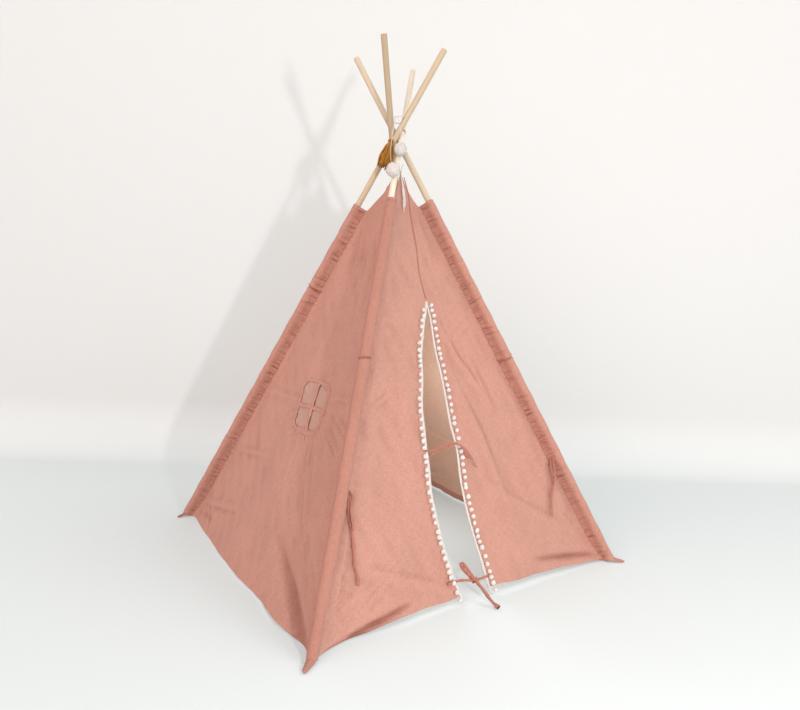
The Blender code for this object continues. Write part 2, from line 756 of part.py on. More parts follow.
# The bow's places are from its knot: shares of the tail's length across and up, and a lift.
BOW_SHARES = {
    "bow_left_tail": (LEFT_FLAP, (-knot_end, 0.0), ((-1.146, 0.097, UNDER), (-0.701, 0.125, UNDER),
                                                    (-0.340, 0.083, 0.0), (0.0, 0.0, ON))),
    "bow_loop": (LEFT_FLAP, (-KNOT_RADIUS / 4, knot_top), ((0.0, 0.0, ON), (-0.208, 0.370, ON),
                                                           (-0.431, 0.481, ON))),
    "bow_right_tail": (RIGHT_FLAP, (knot_end, 0.0), ((0.0, 0.0, ON), (0.118, -0.028, 0.0),
                                                     (0.229, -0.028, UNDER), (0.535, -0.014, UNDER),
                                                     (0.813, 0.0, UNDER))),
}
runs = []
for name, (joint, sideways, keys) in TIE_SHARES.items():
    points = [on_door(share, z * APEX_HEIGHT, lift) for share, z, lift in keys]
    runs.append((name, points, sideways, joint))
for name, (joint, start, keys) in BOW_SHARES.items():
    across = KNOT_ACROSS + start[0]
    level = KNOT_HEIGHT + start[1]
    points = []
    for x, z, lift in keys:
        height = level + z * BOW_TAIL_LENGTH
        share = share_at("door", height, across + x * BOW_TAIL_LENGTH)
        points.append(on_door(share, height, lift))
    runs.append((name, points, UPRIGHT, joint))
for name, points, sideways, joint in runs:
    ribbon(name, points, sideways, TIE_WIDTH, TIE_THICKNESS, ROSE, joint)

KNOT = on_door(share_at("door", KNOT_HEIGHT, KNOT_ACROSS), KNOT_HEIGHT, ON)
knot_builder = bmesh.new()
bmesh.ops.create_icosphere(knot_builder, subdivisions=2, radius=KNOT_RADIUS)
bmesh.ops.scale(knot_builder, vec=(1, KNOT_SQUASH, KNOT_SQUASH), verts=knot_builder.verts)
bmesh.ops.translate(knot_builder, vec=KNOT, verts=knot_builder.verts)
finish("bow_knot", knot_builder, ROSE, LEFT_FLAP)
FRONT_TAIL_SHARES = ((0.0, -0.0944, -0.0417), (0.3056, -0.2778, -0.3333), (0.6389, -0.4722, -0.5833),
                     (1.0, -0.6111, -0.6389))
points = [KNOT + Vector(step) * BOW_TAIL_LENGTH for step in FRONT_TAIL_SHARES]
ribbon("bow_front_tail", points, UPRIGHT, TIE_WIDTH / 2, TIE_THICKNESS, ROSE, LEFT_FLAP)

# The crown: a cord through the four pole holes, knotted at its ends.
stops = []
for pole in ("front_left", "front_right", "back_right", "back_left"):
    centre, across = hole_axis(pole)
    outside = HOLE_STRAIGHT + HOLE_LEAD
    stops.append([centre + across * step for step in (-outside, -HOLE_STRAIGHT, HOLE_STRAIGHT, outside)])
route = [point for stop in stops for point in stop]
lacing = smooth_points(route, 2)
cord("crown_cord", lacing, CORD_RADIUS, WHITE)


def ball(name, centre, radius, finish_material, joint=None, detail=3):
    bm = bmesh.new()
    bmesh.ops.create_icosphere(bm, subdivisions=detail, radius=radius)
    bmesh.ops.translate(bm, vec=centre, verts=bm.verts)
    return finish(name, bm, finish_material, joint)


def beside(pole, height, distance):
    """A point in front of a pole, at a distance from its centre line."""
    slant = TOWARDS_VIEWER.cross(pole_direction(pole)).length
    return level_point(pole, Vector(), height) + TOWARDS_VIEWER * (distance / slant)


# What hangs from the cord between the two nearest holes: two pompoms and a tassel.
LEFTWARD = Vector((-TOWARDS_VIEWER.y, TOWARDS_VIEWER.x, 0.0)) * -1
low_ball = beside("front_left", POMPOM_LOW_HEIGHT, POLE_RADIUS + POMPOM_LOW_RADIUS + POMPOM_CLEAR)
high_ball = beside("front_left", POMPOM_HIGH_HEIGHT, POLE_RADIUS + POMPOM_HIGH_RADIUS + POMPOM_CLEAR)
past_high = high_ball + LEFTWARD * (POMPOM_HIGH_RADIUS + STRING_CLEAR)
over_high = beside("front_left", CROWN_HEIGHT, POLE_RADIUS * 3 + STRING_CLEAR)
LACING_SPAN = (stops[2][3], stops[3][0])


def on_lacing(share):
    """The place on the cord's span in front where a string is tied, just clear of the cord."""
    path = [p for p in lacing if (p - LACING_SPAN[0]).length + (p - LACING_SPAN[1]).length
            < (LACING_SPAN[1] - LACING_SPAN[0]).length * 1.3]
    middle = path[len(path) // 2]
    ends = (LACING_SPAN[0], middle) if share < 0.5 else (middle, LACING_SPAN[1])
    point = ends[0].lerp(ends[1], (share % 0.5) * 2)
    return point + TOWARDS_VIEWER * (CORD_RADIUS + STRING_RADIUS + END_GAP)


hangings = (
    ("pompom_low", 0.23, low_ball, past_high, POMPOM_LOW_RADIUS),
    ("pompom_high", 0.37, high_ball, over_high, POMPOM_HIGH_RADIUS),
)
for name, share, centre, bend, radius in hangings:
    top = on_lacing(share)
    axis_empty(name + "_axis", top)
    ball(name, centre, radius, FELT, name + "_axis")
    end = centre + (bend - centre).normalized() * (radius + END_GAP)
    cord(name + "_string", smooth_points([top, bend, end], 3), STRING_RADIUS, WHITE, name + "_axis")

TASSEL_TOP = beside("back_left", TASSEL_HEIGHT, POLE_RADIUS * 2 + STRING_CLEAR) + LEFTWARD * STRING_CLEAR
TASSEL_AXIS = "tassel_axis"
top = on_lacing(0.12)
axis_empty(TASSEL_AXIS, top)
TASSEL_LEAN_SHARES = (-0.2993, -0.0014, -0.9542)
TASSEL_RUN = Vector(TASSEL_LEAN_SHARES).normalized()
HEAD_SHARES = ((0.00, 0.30), (0.03, 0.85), (0.07, 1.00), (0.11, 0.85), (0.13, 0.66))
SKIRT_SHARES = ((0.19, 0.32), (0.30, 0.52), (0.55, 0.78), (0.80, 0.94), (1.00, 1.00))
for name, shares, radius, tint in (("tassel_head", HEAD_SHARES, TASSEL_HEAD_RADIUS, MUSTARD),
                                   ("tassel_skirt", SKIRT_SHARES, TASSEL_SKIRT_RADIUS, MUSTARD)):
    loops = [circle(TASSEL_TOP + TASSEL_RUN * (TASSEL_LENGTH * t), TASSEL_RUN, radius * r, 12)
             for t, r in shares]
    loft(name, loops, tint, TASSEL_AXIS)
NECK_SHARES = ((0.136, 0.9), (0.148, 1.0), (0.172, 1.0), (0.184, 0.9))
loops = [circle(TASSEL_TOP + TASSEL_RUN * (TASSEL_LENGTH * t), TASSEL_RUN, TASSEL_NECK_RADIUS * r, 12)
         for t, r in NECK_SHARES]
loft("tassel_neck", loops, WHITE, TASSEL_AXIS)
points = smooth_points([top, (top + TASSEL_TOP) / 2, TASSEL_TOP - TASSEL_RUN * END_GAP], 2)
cord("tassel_string", points, STRING_RADIUS, MUSTARD, TASSEL_AXIS)

# A pink ribbon band on the front left pole, and the cord's flat tape end over the door's peak.
band_inner = POLE_RADIUS + SURFACE_GAP
band_outer = band_inner + TIE_THICKNESS
along = pole_direction("front_left")
low = level_point("front_left", Vector(), BAND_HEIGHT)
high = low + along * BAND_WIDTH
rings = [circle(low, along, band_outer, 16), circle(high, along, band_outer, 16),
         circle(high, along, band_inner, 16), circle(low, along, band_inner, 16)]
loft("crown_ribbon", rings, PINK, LEFT, ring=True)

start = level_point("front_left", Vector(), TAPE_START)
start += LEVEL * (POLE_RADIUS + TIE_WIDTH / 2 + SURFACE_GAP * 4)
TAPE_TOP_SHARE = 0.42
TAPE_SHARES = ((0.47, 0.9707, 3), (0.49, 0.9350, 2), (0.50, 0.8994, 0))
tape = [start, face_point("door", TAPE_TOP_SHARE, PEAK_HEIGHT + TAPE_TOP_CLEAR, ON + SURFACE_GAP * 3)]
for share, height_share, gaps in TAPE_SHARES:
    tape.append(face_point("door", share, PEAK_HEIGHT * height_share, ON + SURFACE_GAP * gaps))


def across_door(point):
    level = min(point.z, PEAK_HEIGHT)
    return seam_point("front_right", level) - seam_point("front_left", level)


ribbon("crown_tape", tape, across_door, TIE_WIDTH, TAPE_THICKNESS, WHITE)
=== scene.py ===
import math

import bmesh
import bpy
import numpy as np
from mathutils import Matrix, Vector


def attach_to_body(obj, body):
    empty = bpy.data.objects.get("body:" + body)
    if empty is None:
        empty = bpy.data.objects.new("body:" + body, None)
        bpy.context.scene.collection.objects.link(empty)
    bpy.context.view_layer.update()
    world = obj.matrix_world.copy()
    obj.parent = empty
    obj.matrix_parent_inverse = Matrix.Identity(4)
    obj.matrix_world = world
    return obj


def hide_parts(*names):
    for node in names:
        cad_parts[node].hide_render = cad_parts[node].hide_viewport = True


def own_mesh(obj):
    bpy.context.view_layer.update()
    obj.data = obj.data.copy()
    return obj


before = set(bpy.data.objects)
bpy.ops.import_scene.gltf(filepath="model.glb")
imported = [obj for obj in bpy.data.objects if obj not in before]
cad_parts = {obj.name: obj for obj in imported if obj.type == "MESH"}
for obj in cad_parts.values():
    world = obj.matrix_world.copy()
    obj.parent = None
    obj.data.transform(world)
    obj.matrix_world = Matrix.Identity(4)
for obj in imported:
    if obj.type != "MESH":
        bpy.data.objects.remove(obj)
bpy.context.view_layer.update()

# THE ROOM
# A seamless white studio sweep: painted board, dead matt, rolled up behind the tent into a wall. It is
# lit by one low soft window on the right and by white light from all round, so the shadows are pale.
PAPER = "#F4F3EF"
SHEEN = "#C9F4FB"
WALL_SHEEN = 0.165
FLOOR_SHEEN = 0.225
AIR_LEVEL = 0.60
WALL_DISTANCE = 1.08
WALL_HEIGHT = 6.0
COVE_RADIUS = 0.28
COVE_STEPS = 16
SWEEP_REACH = 7.0
UNDERSIDE = -0.0004
CAMERA_PLACE = Vector((-1.142355, -1.746367, 0.843124))
CAMERA_RIGHT = Vector((0.828596, -0.558865, 0.033163))
CAMERA_UP = Vector((0.022593, 0.092568, 0.995450))
CAMERA_AHEAD = Vector((0.559392, 0.824076, -0.089328))


def linear(code):
    """A paint chart's hex colour as the linear colour that a shader takes."""
    parts = [int(code[i:i + 2], 16) / 255 for i in (1, 3, 5)]
    return (*[c / 12.92 if c <= 0.04045 else ((c + 0.055) / 1.055) ** 2.4 for c in parts], 1.0)


def dyed(code):
    """A finish's colour. The room is lit half as bright again as a chart's, so it takes two thirds."""
    return (*[c / 1.5 for c in linear(code)[:3]], 1.0)


def wire(node, inputs):
    """Sets a node's inputs: each to a value, to an output, or to the first live output of a node."""
    for name, value in inputs.items():
        if isinstance(value, bpy.types.Node):
            value = next(socket for socket in value.outputs if socket.enabled)
        if isinstance(value, bpy.types.NodeSocket):
            node.id_data.links.new(value, node.inputs[name])
        else:
            node.inputs[name].default_value = value
    return node


def add(tree, kind, inputs=None, **settings):
    """Adds a node with its settings and its inputs."""
    node = tree.nodes.new(kind)
    for name, value in settings.items():
        setattr(node, name, value)
    return wire(node, inputs or {})


def new_finish(name, roughness, **sockets):
    """A new material, its node tree and its shader, with the shader's own sockets set."""
    made = bpy.data.materials.new(name)
    made.use_nodes = True
    shader = made.node_tree.nodes["Principled BSDF"]
    wire(shader, {"Roughness": roughness, **{k.replace("_", " "): v for k, v in sockets.items()}})
    return made, made.node_tree, shader


def show(name, data):
    made = bpy.data.objects.new(name, data)
    bpy.context.collection.objects.link(made)
    return made


def make_piece(name, points, faces, materials, uvs=None, face_materials=None, painted_shades=None):
    """A mesh object at the origin. Each point may have its own place on the flat cloth or yarn."""
    mesh = bpy.data.meshes.new(name)
    mesh.from_pydata([tuple(p) for p in points], [], faces)
    for finish in materials:
        mesh.materials.append(finish)
    if uvs is not None:
        corners = np.zeros(len(mesh.loops), int)
        mesh.loops.foreach_get("vertex_index", corners)
        layer = mesh.uv_layers.new(name="UVMap")
        layer.data.foreach_set("uv", np.asarray(uvs, float)[corners].ravel())
    if face_materials is not None:
        mesh.polygons.foreach_set("material_index", face_materials)
    # A point's share of painted shade, which its finish darkens by.
    if painted_shades is not None:
        mesh.attributes.new("painted_shade", "FLOAT", "POINT").data.foreach_set("value", np.ravel(painted_shades))
    mesh.shade_smooth()
    return show(name, mesh)


def seen_straight(tree):
    """1 for what the camera sees straight or as a reflection, 0 for what only lights other things."""
    ray = add(tree, "ShaderNodeLightPath").outputs
    return add(tree, "ShaderNodeMath", {0: ray["Is Camera Ray"], 1: ray["Is Glossy Ray"]},
               operation="MAXIMUM")


# Matt white board. It shows its own white to the camera over a soft grey shadow.
board, tree, shader = new_finish("matt white board", 1.0, Specular_IOR_Level=0.0, Base_Color=dyed("#EFF0EE"))
front = add(tree, "ShaderNodeNewGeometry").outputs
facing = add(tree, "ShaderNodeSeparateXYZ", {0: front["True Normal"]}).outputs["Z"]
sheen = add(tree, "ShaderNodeMapRange", {"Value": facing, "To Min": WALL_SHEEN, "To Max": FLOOR_SHEEN})
glow = add(tree, "ShaderNodeMath", {0: seen_straight(tree), 1: sheen}, operation="MULTIPLY")
light = add(tree, "ShaderNodeEmission", {"Color": linear(SHEEN), "Strength": glow})
both = add(tree, "ShaderNodeAddShader", {0: shader, 1: light})
clear = add(tree, "ShaderNodeBsdfTransparent")
shown = add(tree, "ShaderNodeMixShader", {0: front["Backfacing"], 1: both, 2: clear})
wire(tree.nodes["Material Output"], {"Surface": shown})

ahead = Vector((CAMERA_AHEAD.x, CAMERA_AHEAD.y, 0)).normalized()
side = Vector((ahead.y, -ahead.x, 0))
profile = [(-SWEEP_REACH, 0.0), (WALL_DISTANCE - COVE_RADIUS, 0.0)]
for k in range(1, COVE_STEPS + 1):
    turn = math.pi / 2 * k / COVE_STEPS
    profile.append((WALL_DISTANCE - COVE_RADIUS * (1 - math.sin(turn)), COVE_RADIUS * (1 - math.cos(turn))))
profile.append((WALL_DISTANCE, WALL_HEIGHT))
points = [ahead * along + side * hand + Vector((0, 0, up))
          for along, up in profile for hand in (-SWEEP_REACH, SWEEP_REACH)]
faces = [(k, k + 1, k + 3, k + 2) for k in range(0, len(points) - 2, 2)]
make_piece("sweep", points, faces, [board])
points = [(ahead * a + side * b) * SWEEP_REACH + Vector((0, 0, UNDERSIDE))
          for a, b in ((-1, -1), (-1, 1), (1, 1), (1, -1))]
make_piece("floor_behind", points, [(0, 3, 2, 1)], [board])

world = bpy.data.worlds.new("studio air")
bpy.context.scene.world = world
world.use_nodes = True
air = world.node_tree
direct = seen_straight(air)
tint = add(air, "ShaderNodeMix", {0: direct, 6: linear("#FFFFFF"), 7: linear(PAPER)}, data_type="RGBA")
level = add(air, "ShaderNodeMapRange", {"Value": direct, "To Min": AIR_LEVEL, "To Max": 1.0})
wire(air.nodes["Background"], {"Color": tint, "Strength": level})

for name, kind, power, soft, colour, place in (
        ("window light", "POINT", 170, 0.065, (1, 1, 1), (-0.68, -3.05, 0.84)),
        ("light through the cloth", "POINT", 5.0, 0.14, (0.86, 1.0, 1.06), (0.0, -0.05, 0.44)),
        ("left fill", "SUN", 1.72, math.radians(85), (1.52, 1.12, 1.02), (-0.95, -0.25, 0.22)),
        ("right fill", "SUN", 0.50, math.radians(26), (1, 1, 1), (0.40, -0.90, 0.36)),
        ("ceiling light", "SUN", 0.85, math.radians(34), (1, 1, 1), (0.62, -0.30, 0.80))):
    lamp = bpy.data.lights.new(name, kind)
    lamp.energy = power
    lamp.color = colour
    holder = show(name, lamp)
    if kind == "POINT":
        lamp.shadow_soft_size = soft
        holder.location = place
    else:
        lamp.angle = soft
        holder.rotation_mode = "QUATERNION"
        holder.rotation_quaternion = (-Vector(place)).to_track_quat("-Z", "Y")

lens = bpy.data.cameras.new("camera")
lens.lens = 27.0
lens.sensor_width = 36.0
lens.sensor_fit = "HORIZONTAL"
viewer = show("camera", lens)
turned = Matrix((CAMERA_RIGHT, CAMERA_UP, -CAMERA_AHEAD)).transposed().to_4x4()
viewer.matrix_world = Matrix.Translation(CAMERA_PLACE) @ turned
bpy.context.scene.camera = viewer
bpy.context.scene.view_settings.view_transform = "Standard"

# THE POLES
# Four 20 mm dowels of pale pine, planed, turned and sanded but not varnished, each made in two
# lengths. The sawn ends are chamfered, and a 6.4 mm hole is drilled for the lashing cord.
POLE_RADIUS = 0.010
POLE_LENGTH = 1.900
POLE_SPLIT = 0.950
SPLIT_GAP = 0.0006
SAWN_RADIUS = 0.0086
CHAMFER = 0.0012
POLE_FOOT_HEIGHT = 0.007384
HOLE_PLACE = POLE_LENGTH - 0.245
HOLE_RADIUS = 0.0032
DRILL_REACH = 0.02
CROWN_HEIGHT = 1.390
FOOT_OUT = 0.55
CROSSING_OUT = 0.0112
POLE_SIDES = {"front_left": (-1, -1, 1, -1), "front_right": (1, -1, 1, 1),
              "back_right": (1, 1, -1, 1), "back_left": (-1, 1, -1, -1)}
BODY_OF = {pole: pole.split("_")[1] + "_frame" for pole in POLE_SIDES}


def pole_line(pole):
    """The foot of a pole's centre line on the floor, and the line's direction."""
    sides = POLE_SIDES[pole]
    foot = Vector((sides[0] * FOOT_OUT, sides[1] * FOOT_OUT, 0))
    crossing = Vector((sides[2] * CROSSING_OUT, sides[3] * CROSSING_OUT, CROWN_HEIGHT))
    return foot, (crossing - foot).normalized()


def pole_place(pole, distance):
    foot, along = pole_line(pole)
    return foot + along * (POLE_FOOT_HEIGHT / along.z + distance)


def settle(made):
    """Turns a piece and its modifiers into one plain mesh."""
    found = bpy.context.evaluated_depsgraph_get()
    found.update()
    mesh = bpy.data.meshes.new_from_object(made.evaluated_get(found))
    made.modifiers.clear()
    made.data = mesh
    return made


def attach(made, body, slot, *nodes, fold=None, **cloth):
    """Hangs a piece on a body in place of its CAD nodes. A piece of cloth that names a fold side gets its
    own copy of its mesh, and the flat size and hold that it gives are not used."""
    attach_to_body(made, body)
    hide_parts(*nodes)
    if fold:
        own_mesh(made)
    return made


def tube_of(rings, runs, girth, caps=2):
    """Points, faces and flat places of a tube through rings of points. Its end faces come last."""
    around = len(rings[0])
    points = [point for ring in rings for point in ring]
    flat = [(i / around * girth, run) for run in runs for i in range(around)]
    faces = [(k + i, k + (i + 1) % around, k + around + (i + 1) % around, k + around + i)
             for k in range(0, len(points) - around, around) for i in range(around)]
    ends = [tuple(range(around))[::-1], tuple(range(len(points) - around, len(points)))]
    return points, faces + ends[:caps], flat


def blend(name, roughness, tones, pattern, relief=None, **sockets):
    """A finish of two or more tones. Its pattern gives the share of each tone over those before it,
    and then the height that the relief, a strength and a depth, stands up from."""
    made, tree, shader = new_finish(name, roughness, **sockets)
    *shares, height = pattern(tree)
    tone = dyed(tones[0])
    for share, colour in zip(shares, tones[1:]):
        tone = add(tree, "ShaderNodeMix", {0: share, 6: tone, 7: dyed(colour)}, data_type="RGBA")
    wire(shader, {"Base Color": tone})
    if relief:
        raised = {"Height": height, "Strength": relief[0], "Distance": relief[1]}
        wire(shader, {"Normal": add(tree, "ShaderNodeBump", raised)})
    return made


def pine_grain(tree):
    """Unvarnished pine: long pale and honey streaks of 2 to 4 mm run down each pole."""
    flat = add(tree, "ShaderNodeUVMap", uv_map="UVMap")
    fine = add(tree, "ShaderNodeMapping", {"Vector": flat, "Scale": (340.0, 9.0, 1.0)})
    streak = add(tree, "ShaderNodeTexNoise", {"Vector": fine, "Scale": 1.0, "Detail": 4.0,
                                              "Roughness": 0.6, "Distortion": 0.4})
    broad = add(tree, "ShaderNodeMapping", {"Vector": flat, "Scale": (60.0, 2.4, 1.0)})
    band = add(tree, "ShaderNodeTexNoise", {"Vector": broad, "Scale": 1.0, "Detail": 2.0})
    return streak, band, streak


def end_rings(tree):
    """Sawn end grain: browner, with rings about 1.5 mm apart."""
    place = add(tree, "ShaderNodeTexCoord").outputs["Object"]
    rings = add(tree, "ShaderNodeTexWave", {"Vector": place, "Scale": 210.0, "Distortion": 3.0,
                                            "Detail": 2.0}, wave_type="RINGS")
    return rings.outputs["Fac"], None


def frame_round(along):
    """Two directions square to a line and to each other, the first of them level."""
    side = along.cross(Vector((0, 0, 1))).normalized()
    return side, side.cross(along).normalized()


def ring_at(centre, side, up, radius, count):
    return [centre + side * (radius * math.cos(math.tau * i / count))
            + up * (radius * math.sin(math.tau * i / count)) for i in range(count)]


# Each pole has its own copy of the pine, painted lighter or darker for how the light falls on it: palest on
# the front left pole, browner on the back right one.
LIT_AND_SHADED_PINES = {pole: blend("sanded pine, " + shade, 0.62, tones, pine_grain, (0.25, 0.0004))
         for pole, shade, tones in (("front_left", "pale", ("#FFFBEE", "#FBEBCB", "#FFF5E0")),
                                    ("front_right", "cream", ("#EBDCC3", "#D6BE9A", "#E0CFB1")),
                                    ("back_left", "straw", ("#E6D5B9", "#CFB590", "#DAC6A5")),
                                    ("back_right", "brown", ("#D5C2A5", "#BCA27E", "#C9B493")))}
END_GRAIN = blend("sawn pine end", 0.85, ("#D9BC90", "#B98F5F"), end_rings)
# The wall of the drilled hole is painted near black.
DARK_HOLE_WALL = new_finish("dark drill hole wall", 0.9, Base_Color=dyed("#3B2A1E"))[0]

for pole in POLE_SIDES:
    along = pole_line(pole)[1]
    side, up = frame_round(along)
    finishes = [LIT_AND_SHADED_PINES[pole], END_GRAIN, DARK_HOLE_WALL]
    for part, low, high, cut_from in (("lower", 0.0, POLE_SPLIT - SPLIT_GAP / 2, 0.0),
                                      ("upper", POLE_SPLIT + SPLIT_GAP / 2, POLE_LENGTH, 0.3)):
        steps = [(low, SAWN_RADIUS), (low + CHAMFER, POLE_RADIUS)]
        steps += [(low + (high - low) * k / 24, POLE_RADIUS) for k in range(1, 24)]
        steps += [(high - CHAMFER, POLE_RADIUS), (high, SAWN_RADIUS)]
        rings = [ring_at(pole_place(pole, d), side, up, r, 40) for d, r in steps]
        points, faces, flat = tube_of(rings, [d + cut_from for d, r in steps], math.tau * POLE_RADIUS)
        name = f"pole_{pole}_{part}"
        kinds = [0] * (len(faces) - 2) + [1, 1]
        made = make_piece("timber_" + name, points, faces, finishes, flat, kinds)
        if part == "upper":
            centre = pole_place(pole, HOLE_PLACE)
            around_crown = Vector((-centre.y, centre.x, 0)).normalized()
            across = (around_crown - along * around_crown.dot(along)).normalized()
            rings = [ring_at(centre + across * d, *frame_round(across), HOLE_RADIUS, 16)
                     for d in (-DRILL_REACH, DRILL_REACH)]
            points, faces, flat = tube_of(rings, (0, 1), 1.0)
            drill = make_piece("drill", points, faces, finishes, flat, [2] * len(faces))
            cut = made.modifiers.new("hole", "BOOLEAN")
            cut.operation = "DIFFERENCE"
            cut.solver = "EXACT"
            cut.object = drill
            settle(made)
            bpy.data.objects.remove(drill)
        made.data.set_sharp_from_angle(angle=math.radians(38))
        attach(made, BODY_OF[pole], "poles", name)

# THE FERRULES
# A drawn aluminium tube joins the two lengths of each pole, out of sight in its pocket. The CAD tubes
# stay, with the fine lines that drawing leaves along them.
def fine_lines(tree):
    """Marks of a drawing die here, and later the painted shadow between a cord's strands, drawn about a
    millimetre apart.
    """
    place = add(tree, "ShaderNodeTexCoord").outputs["Object"]
    return add(tree, "ShaderNodeTexNoise", {"Vector": place, "Scale": 900.0}), None


ALUMINIUM = blend("drawn aluminium", 0.32, ("#D8DADC", "#C3C6C9"), fine_lines, Metallic=1.0)
for pole in POLE_SIDES:
    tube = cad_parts["ferrule_" + pole]
    tube.data.materials.clear()
    tube.data.materials.append(ALUMINIUM)

# THE COTTON
# The whole cover is one mid-weight plain-woven cotton, piece-dyed dusty rose: dead matt, with a fine
# cross of threads and small slubs. Its back is painted paler and browner and made to glow a little, as
# painted light coming through the cloth.
# The strength of the back's glow, painted light for what comes through the cloth.
BACK_GLOW = 0.33
HEM_DEPTH = 0.040
HEM_STITCH = 0.034


def cotton(name, warm, deep, crease=1.0, painted_shade="#94503F", hem=None):
    """Threads are 0.6 mm apart. They are drawn 2.4 mm apart, the finest that the view can show. Shade is
    painted in: where a piece marks painted shade, at the bottom of its folds and beside its seams, the
    colour goes deeper."""
    made, tree, shader = new_finish(name, 0.95, Sheen_Weight=0.12, Sheen_Roughness=0.6,
                                    Specular_IOR_Level=0.18)
    flat = add(tree, "ShaderNodeUVMap", uv_map="UVMap")
    place = add(tree, "ShaderNodeTexCoord").outputs["Object"]
    yarns = []
    for scale in ((420.0, 60.0, 1.0), (60.0, 420.0, 1.0)):
        run = add(tree, "ShaderNodeMapping", {"Vector": flat, "Scale": scale})
        yarns.append(add(tree, "ShaderNodeTexNoise", {"Vector": run, "Scale": 1.0, "Detail": 2.0}))
    threads = add(tree, "ShaderNodeMath", dict(enumerate(yarns)), operation="ADD")
    blend_of = add(tree, "ShaderNodeMapRange", {"Value": threads, "From Min": 0.75, "From Max": 1.3})
    cross = add(tree, "ShaderNodeMix", {0: blend_of, 6: dyed(warm), 7: dyed(deep)}, data_type="RGBA")
    cloud = add(tree, "ShaderNodeTexNoise", {"Vector": place, "Scale": 7.0, "Detail": 3.0})
    soft = add(tree, "ShaderNodeMapRange", {"Value": cloud, "From Min": 0.3, "From Max": 0.7,
                                            "To Min": 0.96, "To Max": 1.03})
    tone = add(tree, "ShaderNodeVectorMath", {0: cross, 1: soft}, operation="MULTIPLY")
    # Painted shade: the colour goes deeper by the share that the piece marks at each point.
    fold = add(tree, "ShaderNodeAttribute", attribute_name="painted_shade").outputs["Fac"]
    dye = add(tree, "ShaderNodeMix", {0: fold, 6: tone, 7: dyed(painted_shade)}, data_type="RGBA")
    if hem:
        up = add(tree, "ShaderNodeSeparateXYZ", {0: flat}).outputs["Y"]
        near = add(tree, "ShaderNodeMapRange", {"Value": up, "From Min": HEM_DEPTH, "From Max": HEM_STITCH})
        dye = add(tree, "ShaderNodeMix", {0: near, 6: dye, 7: dyed(hem)}, data_type="RGBA")
        # Painted light: the back glows in its own colour, as if lit through the cloth.
        wire(shader, {"Emission Color": dye, "Emission Strength": BACK_GLOW})
    rumple = add(tree, "ShaderNodeTexNoise", {"Vector": place, "Scale": 38.0, "Detail": 4.0})
    weave = add(tree, "ShaderNodeBump", {"Height": threads, "Strength": 0.35, "Distance": 0.0005})
    folds = add(tree, "ShaderNodeBump", {"Height": rumple, "Strength": 0.5 * crease, "Distance": 0.004,
                                         "Normal": weave})
    wire(shader, {"Base Color": dye, "Normal": folds})
    return made


ROSE = cotton("rose cotton face", "#DAA694", "#CB9180")
TAN = cotton("rose cotton back", "#D9B29B", "#CBA189", painted_shade="#A8745E", hem="#B87E6C")
# The same cotton painted a deeper rose, as shade, for the door's centre seam, the ties, the bow and the
# pole's ribbon.
SHADED_COTTON = cotton("rose cotton in painted shade", "#C98572", "#B87463", 0.5)

# THE COVER'S CUT
# Each side is a tapering panel, sewn along its edges to the flat fins of the pole pockets. These are
# the lines of those seams, and the cloth's height over a side: its sag, its drag folds, its puckers.
FIN = 0.035
PEAK_HEIGHT = 1.262
SHOULDER_HEIGHT = 1.140
APEX_HEIGHT = 0.850
CLOTH = 0.0015
CLOTH_RISE = 1.0755
SIDES = {"door": ("front_left", "front_right", (0, -1)), "window": ("front_left", "back_left", (-1, 0)),
         "right": ("front_right", "back_right", (1, 0)), "rear": ("back_left", "back_right", (0, 1))}


def fin_direction(pole):
    """Level and inwards, then made square to the pole."""
    along = pole_line(pole)[1]
    sides = POLE_SIDES[pole]
    inwards = Vector((-sides[0], -sides[1], 0)).normalized()
    return (inwards - along * inwards.dot(along)).normalized()


def seam_line(pole):
    """The seam's place at the floor, and how it moves for each metre up."""
    foot, along = pole_line(pole)
    slope = along / along.z
    start = foot + fin_direction(pole) * FIN
    return np.array(start - slope * start.z), np.array(slope)


SEAMS = {pole: seam_line(pole) for pole in POLE_SIDES}


def side_normal(side):
    first, second, outward = SIDES[side]
    a, slope_a = SEAMS[first]
    b, slope_b = SEAMS[second]
    normal = np.cross(b - a, (a + b) / 2 + (slope_a + slope_b) / 2 * PEAK_HEIGHT - a)
    normal /= np.linalg.norm(normal)
    return normal if normal[0] * outward[0] + normal[1] * outward[1] > 0 else -normal


OUT = {side: side_normal(side) for side in SIDES}


def side_ends(side, height):
    """Where a side's two seams stand at a height, along the side's own level direction."""
    first, second, outward = SIDES[side]
    axis = 1 if outward[0] else 0
    return (SEAMS[first][0][axis] + height * SEAMS[first][1][axis],
            SEAMS[second][0][axis] + height * SEAMS[second][1][axis])


def share_at(side, place, height):
    """The share of the way across a side, for a level place and a height on it."""
    start, end = side_ends(side, np.asarray(height, float))
    return (place - start) / (end - start)


def swell(u, z, seed, size, height):
    """Soft undulation of a hung cloth: a few slow waves, the same on each run."""
    dice = np.random.RandomState(seed)
    total = 0
    for _ in range(7):
        turn, pace = dice.uniform(0, math.tau), dice.uniform(0.6, 1.5) / size
        phase = dice.uniform(0, math.tau)
        total = total + np.sin(math.tau * pace * (u * math.cos(turn) + z * math.sin(turn)) + phase)
    return total * height / 2.6


def crease(u, z, line, width, height, kind):
    """One fold along a line. A drag fold is steep on one side and eases off on the other."""
    u0, z0, u1, z1 = line
    run_u, run_z = u1 - u0, z1 - z0
    length = math.hypot(run_u, run_z)
    t = ((u - u0) * run_u + (z - z0) * run_z) / length ** 2
    d = ((u - u0) * run_z - (z - z0) * run_u) / length / width
    fade = np.clip(1 - np.abs(2 * t - 1), 0, 1) ** 0.6
    if kind == "drag":
        return height * fade * np.exp(-np.clip(d, 0, None) ** 2 - np.clip(-d, 0, None) ** 2 * 9)
    return height * fade * np.exp(-d ** 2)


